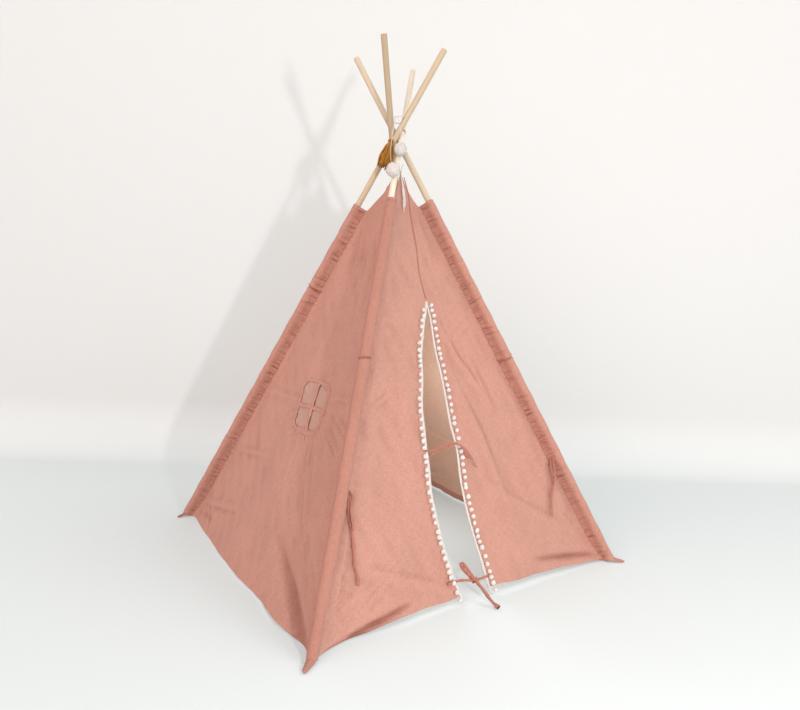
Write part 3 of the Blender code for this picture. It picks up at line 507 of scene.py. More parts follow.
# Each fold: where it starts and ends, across the side and up it, its width, its height, its kind.
CREASES = {
    "door": (
        (0.034, 0.80, 0.20, 0.50, 0.020, 0.0075, "drag"), (0.050, 0.66, 0.20, 0.19, 0.026, 0.0090, "drag"),
        (0.33, 0.66, 0.475, 0.18, 0.022, 0.0065, "drag"), (0.145, 0.70, 0.20, 0.50, 0.016, 0.0050, "drag"),
        (0.22, 0.058, 0.530, 0.020, 0.010, -0.0120, "gully"),
        (0.26, 0.020, 0.52, 0.004, 0.014, 0.0080, "ridge"),
        (-0.540, -0.008, -0.230, 0.040, 0.008, -0.0140, "gully"),
        (-0.520, -0.022, -0.22, 0.022, 0.012, 0.0085, "ridge"),
        (-0.270, 0.535, -0.195, 0.572, 0.009, 0.0045, "drag"),
        (-0.35, 0.38, -0.47, 0.05, 0.020, 0.0065, "drag"),
        (-0.180, 0.77, -0.345, 0.24, 0.026, 0.0060, "ridge"),
        (-0.070, 0.86, -0.195, 0.27, 0.026, 0.0050, "ridge"),
        (0.052, 1.16, 0.075, 0.93, 0.010, 0.0030, "drag"),
        (-0.055, 1.10, -0.155, 0.83, 0.016, 0.0040, "ridge"),
        (-0.40, 0.16, -0.10, 0.045, 0.020, 0.0050, "drag"), (0.10, 0.30, 0.42, 0.10, 0.030, 0.0050, "drag")),
    "window": (
        (-0.155, 0.515, -0.33, 0.450, 0.009, 0.0060, "drag"),
        (-0.150, 0.541, -0.29, 0.548, 0.008, 0.0050, "drag"),
        (-0.150, 0.470, -0.300, 0.400, 0.009, 0.0055, "drag"),
        (-0.100, 0.415, -0.16, 0.300, 0.010, 0.0045, "drag"),
        (0.050, 0.508, 0.345, 0.519, 0.014, 0.0050, "drag"),
        (-0.03, 0.41, -0.05, 0.27, 0.012, 0.0032, "ridge"),
        (-0.540, -0.030, -0.130, 0.150, 0.020, -0.0190, "gully"),
        (-0.500, -0.030, -0.150, 0.040, 0.026, 0.0120, "ridge"),
        (-0.500, 0.080, -0.30, 0.24, 0.022, 0.0080, "ridge"),
        (0.510, 0.060, 0.150, 0.130, 0.016, 0.0080, "drag"),
        (0.385, 0.275, 0.120, 0.314, 0.013, 0.0065, "drag"),
        (0.045, 1.11, -0.020, 0.83, 0.012, 0.0040, "ridge"),
        (-0.020, 1.09, -0.125, 0.74, 0.014, 0.0045, "ridge"),
        (-0.026, 1.15, -0.210, 0.76, 0.014, 0.0040, "ridge"),
        (-0.150, 0.345, -0.295, 0.175, 0.020, 0.0060, "drag"),
        (0.30, 0.50, 0.10, 0.20, 0.030, 0.0045, "ridge"), (0.48, 0.16, 0.28, 0.01, 0.024, 0.0070, "drag"),
        (0.50, 0.03, 0.30, 0.05, 0.012, -0.0060, "gully")),
    "right": (
        (-0.48, 0.05, -0.20, 0.10, 0.016, -0.0090, "gully"), (0.40, 0.30, 0.05, 0.26, 0.020, 0.0060, "drag"),
        (0.02, 1.12, -0.08, 0.70, 0.016, 0.0040, "ridge"), (0.08, 1.00, 0.18, 0.60, 0.020, 0.0040, "ridge"),
        (0.49, 0.04, 0.22, 0.10, 0.018, 0.0070, "drag"), (-0.30, 0.45, -0.10, 0.62, 0.018, 0.0045, "drag")),
    "rear": (
        (-0.49, 0.04, -0.20, 0.11, 0.016, -0.0090, "gully"), (0.49, 0.05, 0.20, 0.09, 0.018, 0.0080, "drag"),
        (-0.02, 1.12, 0.06, 0.72, 0.016, 0.0040, "ridge"),
        (-0.08, 1.00, -0.20, 0.55, 0.020, 0.0040, "ridge"),
        (0.30, 0.50, 0.12, 0.70, 0.018, 0.0045, "drag"), (-0.36, 0.30, -0.12, 0.22, 0.020, 0.0045, "drag")),
}


NECK_FOLDS = 16
FOOT_FOLDS = 12
SEAM_PULLS = 34
FOOT_PLACE = 0.47


def seam_place(height):
    """About where the side seams stand at a height, on either hand of a side's middle."""
    return 0.512 - 0.396 * height


def chance_creases(seed, strength):
    """The small creases of a panel that was folded in its bag: fans from the neck and from the feet,
    and short pulls from the gathered seams."""
    dice = np.random.RandomState(seed)
    roll = dice.uniform
    found = []
    for _ in range(NECK_FOLDS):
        z, lean, drop = roll(0.62, 1.12), roll(-0.95, 0.95), roll(0.10, 0.34)
        u = lean * (1.30 - z) * 0.36
        found.append((u, z, u + lean * drop * 0.33, z - drop, roll(0.006, 0.013),
                      strength * roll(0.0007, 0.0020), "drag" if roll() < 0.5 else "ridge"))
    for _ in range(FOOT_FOLDS):
        hand, turn, run = dice.choice((-1, 1)), roll(0.05, 1.1), roll(0.10, 0.30)
        u, z = hand * (FOOT_PLACE - roll(0, 0.04)), roll(0.01, 0.08)
        found.append((u, z, u - hand * run * math.cos(turn), z + run * math.sin(turn),
                      roll(0.007, 0.014), strength * roll(0.0009, 0.0024), "drag"))
    for _ in range(SEAM_PULLS):
        hand, z, run = dice.choice((-1, 1)), roll(0.10, 1.08), roll(0.035, 0.12)
        u = hand * seam_place(z)
        found.append((u, z, u - hand * run, z - run * roll(-0.1, 0.75), roll(0.004, 0.008),
                      strength * roll(0.0010, 0.0022), "drag"))
    return tuple(found)


for number, side in enumerate(SIDES):
    CREASES[side] += chance_creases(60 + number, 0.35 if side == "window" else 0.9)
HEM_BOW = {"door": -0.004, "window": 0.036, "right": -0.040, "rear": 0.010}
FOOT_RUN = {("front_left", "window"): 0.070, ("front_left", "door"): 0.056}
WINDOW_MIDDLE = (-0.047, 0.506)
WINDOW_HALF = (0.092, 0.085)
SAG = 0.008
SEAM_FADE = 0.030
NECK_FADE = 0.15
PUCKER_PACE = 0.013
PUCKER_REACH = 0.016
PUCKER_HEIGHT = 0.0013
SEAM_RIDGE = 0.0016
SEAM_RIDGE_WIDTH = 0.004
WINDOW_PUCKERS = 29
HEM_FLARE = 0.10
FOOT_FLARE = 0.035
HOLLOW_DEPTH = 0.0050
SEAM_SHADOW = 0.0030


def relief_of(side, share, height):
    """How far the cloth stands off its flat side, and the distance to the nearer seam."""
    start, end = side_ends(side, height)
    inner = np.clip(share, 0, 1)
    u = start + (end - start) * share
    edge = np.minimum(inner, 1 - inner) * np.abs(end - start)
    seed = 3 + len(side)
    relief = swell(u, height, 8 + seed, 0.30, 0.0045) + swell(u, height, 2 + seed, 0.075, 0.0010)
    for *line, width, depth, kind in CREASES[side]:
        relief = relief + crease(u, height, line, width, depth, kind)
    relief = relief * np.clip(edge / SEAM_FADE, 0, 1)
    relief = relief * np.clip((PEAK_HEIGHT + 0.05 - height) / NECK_FADE, 0, 1)
    wave = math.tau * height / PUCKER_PACE + 2.6 * np.sin(height * 41 + seed)
    pucker = np.sin(wave) * np.exp(-edge / PUCKER_REACH) * (0.6 + 0.4 * np.sin(height * 23 + seed))
    relief = relief + PUCKER_HEIGHT * pucker
    relief = relief + SEAM_RIDGE * np.exp(-(edge / SEAM_RIDGE_WIDTH) ** 2)
    if side == "window":
        over, above = u - WINDOW_MIDDLE[0], height - WINDOW_MIDDLE[1]
        far = np.hypot(over / WINDOW_HALF[0], above / WINDOW_HALF[1])
        turn = np.arctan2(above, over)
        tight = np.exp(-np.abs(far - 1.12) / 0.18) * (0.35 + 0.65 * (np.cos(turn + 0.9) > -0.2))
        puckers = np.sin(turn * WINDOW_PUCKERS + 2 * np.sin(turn * 5))
        relief = relief + SEAM_RIDGE * puckers * tight
    return relief, edge


def side_points(side, share, height, lift=0.0):
    """Places on a side's cloth, from its first pole's seam, share 0, to its second's, share 1. At each
    foot the cloth runs out to the pole's end."""
    first, second, outward = SIDES[side]
    share, height = np.asarray(share, float), np.asarray(height, float)
    above = np.clip(height, 0, None)
    left = SEAMS[first][0] + height[..., None] * SEAMS[first][1]
    right = SEAMS[second][0] + height[..., None] * SEAMS[second][1]
    placed = left + (right - left) * share[..., None]
    inner = np.clip(share, 0, 1)
    sag = SAG * np.sin(math.pi * inner) * np.sin(math.pi * np.clip(height / PEAK_HEIGHT, 0, 1))
    bow = HEM_BOW[side] * np.exp(-above / HEM_FLARE) * np.sin(math.pi * inner)
    for pole, near in ((first, inner), (second, 1 - inner)):
        far_out = FOOT_RUN.get((pole, side), 0.022)
        reach = far_out * np.exp(-above / FOOT_FLARE - near * (11 if side == "window" else 22))
        placed = placed - np.array([*Vector(fin_direction(pole)).xy.normalized(), 0.0]) * reach[..., None]
    placed = placed + OUT[side] * (lift + relief_of(side, share, height)[0] - sag)[..., None]
    return placed + np.array([outward[0], outward[1], 0.0]) * bow[..., None]


def painted_shade_of(side, share, height):
    """Painted shade for places on the cloth: how deep each lies below what is round it, from 0 on a ridge to
    1 in a sharp crease, with more beside a seam.
    """
    here, edge = relief_of(side, share, height)
    start, end = side_ends(side, height)
    total = np.zeros_like(here)
    for reach in (0.007, 0.016):
        shift = reach / np.abs(end - start)
        for du, dz in ((1, 0), (-1, 0), (0, 1), (0, -1)):
            total = total + relief_of(side, share + du * shift, height + dz * reach)[0] / 8
    return np.clip((total - here) / HOLLOW_DEPTH, 0, 0.75) + 0.35 * np.exp(-(edge / SEAM_SHADOW) ** 2)


def side_normals(side, share, height):
    step = 0.002
    right = side_points(side, share + step, height) - side_points(side, share - step, height)
    up = side_points(side, share, height + step) - side_points(side, share, height - step)
    normal = np.cross(right, up)
    normal /= np.linalg.norm(normal, axis=-1, keepdims=True)
    return normal * np.sign((normal @ OUT[side]))[..., None]


def facing_out(points, faces, side):
    """The faces, all turned over if they look into the tent."""
    a, b, c = (points[i] for i in faces[0][:3])
    if np.dot(np.cross(b - a, c - a), OUT[side]) < 0:
        return [tuple(face[::-1]) for face in faces]
    return faces


def sew(name, side, share, height, faces, materials, thickness=CLOTH, lift=0.0):
    """A cut of cloth on a side: a face, a back and the cut edge between them, shaded as one cloth."""
    share, height, faces = np.ravel(share), np.ravel(height), np.array(faces)
    kept, faces = np.unique(faces, return_inverse=True)
    share, height, faces = share[kept], height[kept], faces.reshape(-1, 4).tolist()
    front, normals = side_points(side, share, height, lift), side_normals(side, share, height)
    count = len(front)
    faces = facing_out(front, faces, side)
    used = dict.fromkeys(edge for face in faces for edge in zip(face, (*face[1:], face[0])))
    rim = [(j, i, i + count, j + count) for i, j in used if (j, i) not in used]
    both = [*faces, *(tuple(i + count for i in face[::-1]) for face in faces), *rim]
    kinds = [0] * len(faces) + [min(1, len(materials) - 1)] * len(faces) + [0] * len(rim)
    start, end = side_ends(side, height)
    flat = np.stack([start + (end - start) * share, height * CLOTH_RISE], -1)
    # Painted shade in the folds and beside the seams, fainter on the back.
    painted_shades = painted_shade_of(side, share, height)
    made = make_piece(name, np.concatenate([front, front - normals * thickness]), both, materials,
                      np.concatenate([flat, flat]), kinds, np.concatenate([painted_shades, painted_shades * 0.4]))
    made.data.normals_split_custom_set_from_vertices(np.concatenate([normals, -normals]))
    return made


def quads(rows, columns):
    index = np.arange(rows * columns).reshape(rows, columns)
    corners = np.stack([index[:-1, :-1], index[:-1, 1:], index[1:, 1:], index[1:, :-1]], -1)
    return [tuple(face) for face in corners.reshape(-1, 4).tolist()]


NECK = {"door": (1.158, 1.286, 1.160), "window": (1.152, 1.246, 1.142), "right": (1.158, 1.240, 1.142),
        "rear": (1.142, 1.238, 1.142)}
HEM_RISE = {"door": 0.016, "window": 0.001, "right": 0.004, "rear": 0.012}
HEM_CLEAR = 0.0045
HEM_FADE = 0.10


def panel_net(side, low_share, high_share, levels, columns, crown_rows=0):
    """Shares and heights of a panel between two edges, down to its hem and up to its neck curve."""
    shares, heights = [], []
    even_steps = np.linspace(0, 1, columns)
    spread = even_steps - 0.55 * np.sin(math.tau * even_steps) / math.tau
    for level in levels:
        share = low_share(level) + (high_share(level) - low_share(level)) * spread
        start, end = side_ends(side, level)
        u = start + (end - start) * share
        ripple = HEM_RISE[side] * (0.12 * np.sin(u * 21 + 1) + 0.07 * np.sin(u * 47 + len(side)))
        hem = HEM_CLEAR + (HEM_RISE[side] + ripple) * np.sin(math.pi * np.clip(share, 0, 1))
        shares.append(share)
        heights.append(level + hem * max(0.0, 1 - level / HEM_FADE))
    for k in range(1, crown_rows + 1):
        low, high = low_share(SHOULDER_HEIGHT), high_share(SHOULDER_HEIGHT)
        share = low + (high - low) * spread
        first, peak, last = NECK[side]
        shoulder = first + (last - first) * share
        steep = np.where(share < 0.5, 0.34 if side == "door" else 1.3, 1.3)
        neck = shoulder + (peak - shoulder) * (1 - np.abs(2 * share - 1)) ** steep
        shares.append(share)
        heights.append(SHOULDER_HEIGHT + (neck - SHOULDER_HEIGHT) * k / crown_rows)
    return np.array(shares), np.array(heights)


LOW_LEVELS = list(np.linspace(0.0, APEX_HEIGHT, 114))
HIGH_LEVELS = list(np.linspace(APEX_HEIGHT, SHOULDER_HEIGHT, 40))
LEVELS = LOW_LEVELS + HIGH_LEVELS[1:]


def cut_panel(name, side, low_share, high_share, columns, body, node, fold, levels=LEVELS, crown_rows=14,
              held="stretched", **sizes):
    """A panel between two edges, from its hem to its neck."""
    share, height = panel_net(side, low_share, high_share, levels, columns, crown_rows)
    made = sew(name, side, share, height, quads(*share.shape), [ROSE, TAN])
    attach(made, body, "cover", node, fold=fold, held=held, **sizes)


# THE RIGHT AND REAR PANELS
# Plain tapering panels of the same cotton, hemmed at the floor and cut in a hollow curve at the neck.
# The rear panel is drawn as two halves that meet edge to edge, so that it can fold with the poles.
cut_panel("cloth_right_panel", "right", lambda z: 0.0, lambda z: 1.0, 170, "right_frame", "right_panel",
          "right", flat=(1.05, 1.36), area=0.75)
for hand, low, high in (("left", 0.0, 0.5), ("right", 0.5, 1.0)):
    cut_panel("cloth_rear_" + hand, "rear", lambda z: low, lambda z: high, 84, hand + "_frame",
              "rear_panel", hand, flat=(0.53, 1.36), area=0.375)

# THE WINDOW PANEL
# The left side has a window cut out of it, about 185 by 160 mm, with its corners rounded. The cloth
# round it puckers, since the binding was sewn on a little tight.
WINDOW = ((0.0570, 0.5400), (0.0552, 0.5640), (0.0450, 0.5770), (0.0150, 0.5822), (-0.0400, 0.5835),
          (-0.0900, 0.5800), (-0.1165, 0.5715), (-0.1245, 0.5480), (-0.1280, 0.4974), (-0.1300, 0.4680),
          (-0.1270, 0.4400), (-0.1120, 0.4270), (-0.0800, 0.4225), (-0.0200, 0.4255), (0.0280, 0.4300),
          (0.0440, 0.4370), (0.0495, 0.4650), (0.0525, 0.5020))


def rounded(corners, times=3):
    """Cuts the corners of a closed outline, over and over, until it is a smooth curve."""
    line = np.array(corners, float)
    for _ in range(times):
        after = np.roll(line, -1, 0)
        line = np.stack([line * 0.75 + after * 0.25, line * 0.25 + after * 0.75], 1).reshape(-1, 2)
    return line


def even(line, count, closed=True):
    """Places at even steps along a line."""
    line = np.array(line, float)
    if closed:
        line = np.concatenate([line, line[:1]])
    run = np.concatenate([[0], np.cumsum(np.linalg.norm(np.diff(line, axis=0), axis=1))])
    where = np.linspace(0, run[-1], count + 1)[:-1] if closed else np.linspace(0, run[-1], count)
    return np.stack([np.interp(where, run, line[:, k]) for k in range(line.shape[1])], -1)


window_edge = rounded(WINDOW)
window_middle = np.array(WINDOW_MIDDLE)
share, height = panel_net("window", lambda z: 0.0, lambda z: 1.0, LEVELS, 170, 14)
start, end = side_ends("window", height)
across = start + (end - start) * share
row_low, row_high = (int(np.argmin(np.abs(np.array(LEVELS) - z))) for z in (0.402, 0.608))
middle_row = across[(row_low + row_high) // 2]
column_low, column_high = (int(np.argmin(np.abs(middle_row - y))) for y in (-0.170, 0.076))
columns = share.shape[1]
faces = [face for face in quads(*share.shape) if not (row_low <= face[0] // columns < row_high
                                                      and column_low <= face[0] % columns < column_high)]
loop = [(row_low, c) for c in range(column_low, column_high)]
loop += [(r, column_high) for r in range(row_low, row_high)]
loop += [(row_high, c) for c in range(column_high, column_low, -1)]
loop += [(r, column_low) for r in range(row_high, row_low, -1)]
outer = np.array([(across[r, c], height[r, c]) for r, c in loop])
turn = np.arctan2(*(outer - window_middle).T[::-1])
edge_turn = np.arctan2(*(window_edge - window_middle).T[::-1])
order = np.argsort(edge_turn)
reach = np.linalg.norm(window_edge - window_middle, axis=1)[order]
reach = np.interp(turn, edge_turn[order], reach, period=math.tau)
inner = window_middle + np.stack([np.cos(turn), np.sin(turn)], -1) * reach[:, None]
share_list, height_list = list(share.ravel()), list(height.ravel())
ring = [r * columns + c for r, c in loop]
for way in (0.25, 0.45, 0.62, 0.76, 0.88, 1.0):
    places = outer + (inner - outer) * way
    first = len(share_list)
    share_list += list(share_at("window", places[:, 0], places[:, 1]))
    height_list += list(places[:, 1])
    after = list(range(first, first + len(ring)))
    faces += zip(ring, [*ring[1:], ring[0]], [*after[1:], after[0]], after)
    ring = after
window_panel = sew("cloth_window_panel", "window", np.array(share_list), np.array(height_list), faces,
                   [ROSE, TAN])
attach(window_panel, "left_frame", "cover", "window_panel", fold="left", flat=(1.05, 1.36),
       held="stretched", area=0.73)


def thicken(made, thickness):
    wall = made.modifiers.new("cloth", "SOLIDIFY")
    wall.thickness = thickness
    wall.offset = -1
    return settle(made)


def strip(name, side, line, widths, lifts, materials, thickness, closed=False):
    """A ribbon laid on a side along a line. Across it, each width from the line has its own lift, and
    each is a number or a function of the share of the line."""
    line = np.array(line, float)
    ahead = np.roll(line, -1, 0) - np.roll(line, 1, 0)
    if not closed:
        ahead[0], ahead[-1] = line[1] - line[0], line[-1] - line[-2]
    ahead /= np.linalg.norm(ahead, axis=1, keepdims=True)
    out = np.stack([ahead[:, 1], -ahead[:, 0]], -1)
    t = np.arange(len(line)) / len(line)
    widths, lifts = (np.array([(v(t) if callable(v) else v) + 0 * t for v in given]).T
                     for given in (widths, lifts))
    places = line[:, None] + out[:, None] * widths[..., None]
    if closed:
        places, lifts = np.concatenate([places, places[:1]]), np.concatenate([lifts, lifts[:1]])
    rows, columns = places.shape[:2]
    points = side_points(side, share_at(side, places[..., 0], places[..., 1]), places[..., 1], lifts)
    faces = quads(rows, columns)
    if closed:
        points = points[:-1]
        faces = [tuple(i % ((rows - 1) * columns) for i in face) for face in faces]
    points = points.reshape(-1, 3)
    run = np.arange(len(points)) // columns * float(np.linalg.norm(line[1] - line[0]))
    flat = np.stack([np.resize(widths[0], len(points)), run], -1)
    return thicken(make_piece(name, points, facing_out(points, faces, side), materials, flat), thickness)


# THE WINDOW'S BINDING, NET AND BARS
# A bias strip of the same cotton is folded over the opening's edge and gathered round its corners. A
# square of tan open-weave cotton is sewn in behind, and two ribbons cross in front of it as bars.
EDGE_STEPS = 240
edge_shares = np.arange(EDGE_STEPS) / EDGE_STEPS


def band(t):
    """The binding is broader at its low right corner."""
    return np.interp(1 - t, edge_shares, np.clip(np.sin(math.tau * (edge_shares - 0.22)) * 1.6 + 0.5, 0, 1))


def ruck(t):
    """It is gathered most where it is broad."""
    back = 1 - t
    return 0.0010 * np.sin(math.tau * back * 46 + 3 * np.sin(math.tau * back * 7)) * (0.06 + band(t))


binding = strip("cloth_window_binding", "window", even(window_edge, EDGE_STEPS)[::-1],
                (-0.0040, -0.0030, 0.001, lambda t: 0.004 + 0.004 * band(t),
                 lambda t: 0.0065 + 0.0075 * band(t), lambda t: 0.0075 + 0.0085 * band(t) + ruck(t)),
                (-0.0012, 0.0012, lambda t: 0.0028 + ruck(t), lambda t: 0.0030 + ruck(t) * 1.4,
                 lambda t: 0.0022 + ruck(t), 0.0002), [ROSE], 0.0007, closed=True)
attach(binding, "left_frame", "cover", "window_binding", fold="left", flat=(0.016, 0.56), held="gathered")


def open_weave(tree):
    """Two sets of tan threads. They are drawn 3 mm apart, since the real mesh is too fine to show."""
    flat = add(tree, "ShaderNodeUVMap", uv_map="UVMap")
    warp, weft = (add(tree, "ShaderNodeTexWave", {"Vector": flat, "Scale": 110.0, "Distortion": 0.8},
                      wave_type="BANDS", bands_direction=way).outputs["Fac"] for way in "XY")
    return add(tree, "ShaderNodeMath", {0: warp, 1: weft}, operation="MAXIMUM"), None


NET = blend("tan open-weave net", 0.9, ("#C0988A", "#DBB5A5"), open_weave, Specular_IOR_Level=0.1)
places = np.stack(np.meshgrid(np.linspace(-0.150, 0.072, 54), np.linspace(0.410, 0.596, 45)), -1)
net = sew("net_window", "window", share_at("window", places[..., 0], places[..., 1]), places[..., 1],
          quads(45, 54), [NET], 0.0006, lift=-0.0018)
attach(net, "left_frame", "net", "window_net", fold="left", flat=(0.222, 0.200), held="stretched")

# Grosgrain ribbon, woven closer than the cover: a touch paler and nearly without creases.
RIBBON = cotton("rose grosgrain ribbon", "#DEA393", "#D09384", 0.3)
for name, ends, half, high in (
        ("upright", ((-0.0375, 0.588), (-0.0426, 0.545), (-0.0491, 0.502), (-0.0536, 0.467),
                     (-0.0640, 0.421)), 0.0082, 0.0020),
        ("level", ((0.0560, 0.4975), (-0.0430, 0.5028), (-0.1340, 0.5010)), 0.0060, 0.0012)):
    bar = strip("ribbon_window_" + name, "window", even(ends, 60, closed=False),
                (-half, -half / 3, half / 3, lambda t: half + 0.0005 * np.sin(t * 31)),
                (lambda t: high - 0.0012 * np.sin(t * 19), lambda t: high + 0.0003 * np.sin(t * 23),
                 lambda t: high + 0.0002 * np.cos(t * 17), lambda t: high - 0.0010 * np.cos(t * 21)),
                [RIBBON], 0.0007)
    attach(bar, "left_frame", "ribbon", "window_ribbon_" + name, fold="left", flat=(half * 2, 0.180),
           held="stretched")

# THE DOOR
# The front is two panels, sewn together from the neck down to the slit. Below that each side has a
# flap, which folds back along a line from the slit's top to its foot.
CENTRE_SHARE = 0.515
apex_ends = side_ends("door", APEX_HEIGHT)
APEX = apex_ends[0] + (apex_ends[1] - apex_ends[0]) * CENTRE_SHARE
SLIT = {"left": ((0.000, -0.064), (0.019, -0.070), (0.088, -0.087), (0.133, -0.096), (0.193, -0.105),
                 (0.267, -0.107), (0.346, -0.103), (0.405, -0.098), (0.532, -0.079), (0.665, -0.050),
                 (0.760, -0.024), (0.850, APEX - 0.0005)),
        "right": ((0.000, 0.043), (0.012, 0.042), (0.060, 0.034), (0.106, 0.029), (0.166, 0.022),
                  (0.236, 0.017), (0.315, 0.015), (0.393, 0.018), (0.459, 0.017), (0.526, 0.021),
                  (0.606, 0.024), (0.691, 0.023), (0.768, 0.020), (0.850, APEX + 0.0005))}
FOLD_FOOT = {"left": -0.4773, "right": 0.4616}


def slit_place(hand, height):
    """The slit's edge at a height: a smooth line through the measured places."""
    heights, places = np.array(SLIT[hand]).T
    total = sum(np.interp(height + shift, heights, places) for shift in (-0.03, -0.015, 0, 0.015, 0.03))
    ease = np.clip((APEX_HEIGHT - height) / 0.05, 0, 1) * np.clip(height / 0.03, 0, 1)
    return np.interp(height, heights, places) * (1 - ease) + total / 5 * ease


def fold_place(hand, height):
    return np.interp(height, (0.003, APEX_HEIGHT), (FOLD_FOOT[hand], APEX))


for hand, end_share in (("left", 0.0), ("right", 1.0)):
    def fold_share(level, hand=hand):
        if level > APEX_HEIGHT - 1e-6:
            return CENTRE_SHARE
        return float(share_at("door", fold_place(hand, level), level))

    def edge_share(level, hand=hand):
        return float(share_at("door", slit_place(hand, level), level))

    cut_panel("cloth_door_panel_" + hand, "door", lambda z: end_share, fold_share, 46, hand + "_frame",
              "door_panel_" + hand, hand, flat=(0.35, 1.36), area=0.19)
    cut_panel("cloth_flap_" + hand, "door", fold_share, edge_share, 70, hand + "_flap", "flap_" + hand,
              hand, LOW_LEVELS[:-1], 0, "hung", flat=(0.43, 0.92), area=0.185)

seam_places = ((APEX, 0.853), (0.0120, 0.95), (0.0200, 1.03), (0.0265, 1.12), (0.0270, 1.20),
               (0.0240, 1.262))
centre_seam = strip("cloth_door_seam", "door", even(seam_places, 60, closed=False),
                    (-0.0030, -0.0012, 0.0014, 0.0030),
                    (0.0001, lambda t: 0.0013 + 0.0003 * np.sin(t * 400), 0.0009, 0.0001), [SHADED_COTTON], 0.0004)
attach(centre_seam, "left_frame", "cover", "door_panel_left", fold="left")

# THE POLE POCKETS
# Each pole stands in a sleeve of the same cotton, closed at the foot, with a flat doubled fin that the
# panels are sewn to. It was cut longer than the seam, so it gathers all the way down.
POCKET_RADIUS = 0.0138
POCKET_CLOTH = 0.0011
POCKET_FLAT = 0.105
FIN_EDGE = 0.0365
FOOT_RINGS = 14
SLEEVE_RINGS = 700
FLOOR_CLEAR = 0.0016
GATHER_DEPTH = 0.0030
BIG_TUCK_WIDTH = 0.0036
HEM_FROM_TOP = 0.012
STITCH_WIDTH = 0.0016
POCKET_TOP = {"front_left": 1.166, "back_left": 1.165, "front_right": 1.184, "back_right": 1.165}
BIG_TUCK = {"front_left": 0.675, "back_left": 0.878, "front_right": 0.665, "back_right": 0.80}
LOOSE_END = {"front_left": (-0.0335, -0.0320), "front_right": (0.0290, -0.0300),
             "back_left": (-0.0350, -0.0190), "back_right": (0.0200, 0.0180)}

half_outline = [(FIN_EDGE, 0.0022), (0.0330, 0.0030), (0.0290, 0.0034), (0.0250, 0.0036),
                (0.0205, 0.0042), (0.0167, 0.0056)]
half_outline += [(POCKET_RADIUS * math.cos(a), POCKET_RADIUS * math.sin(a))
                 for a in np.linspace(0.66, math.pi, 14)]
f, aside_by = np.array(half_outline + [(f, -s) for f, s in half_outline[-2::-1]]).T[:, None]
sleeve = (f < 0.0125) * 1.0
size = np.hypot(f * sleeve, aside_by)


def dent(gap):
    return np.exp(-gap ** 2)


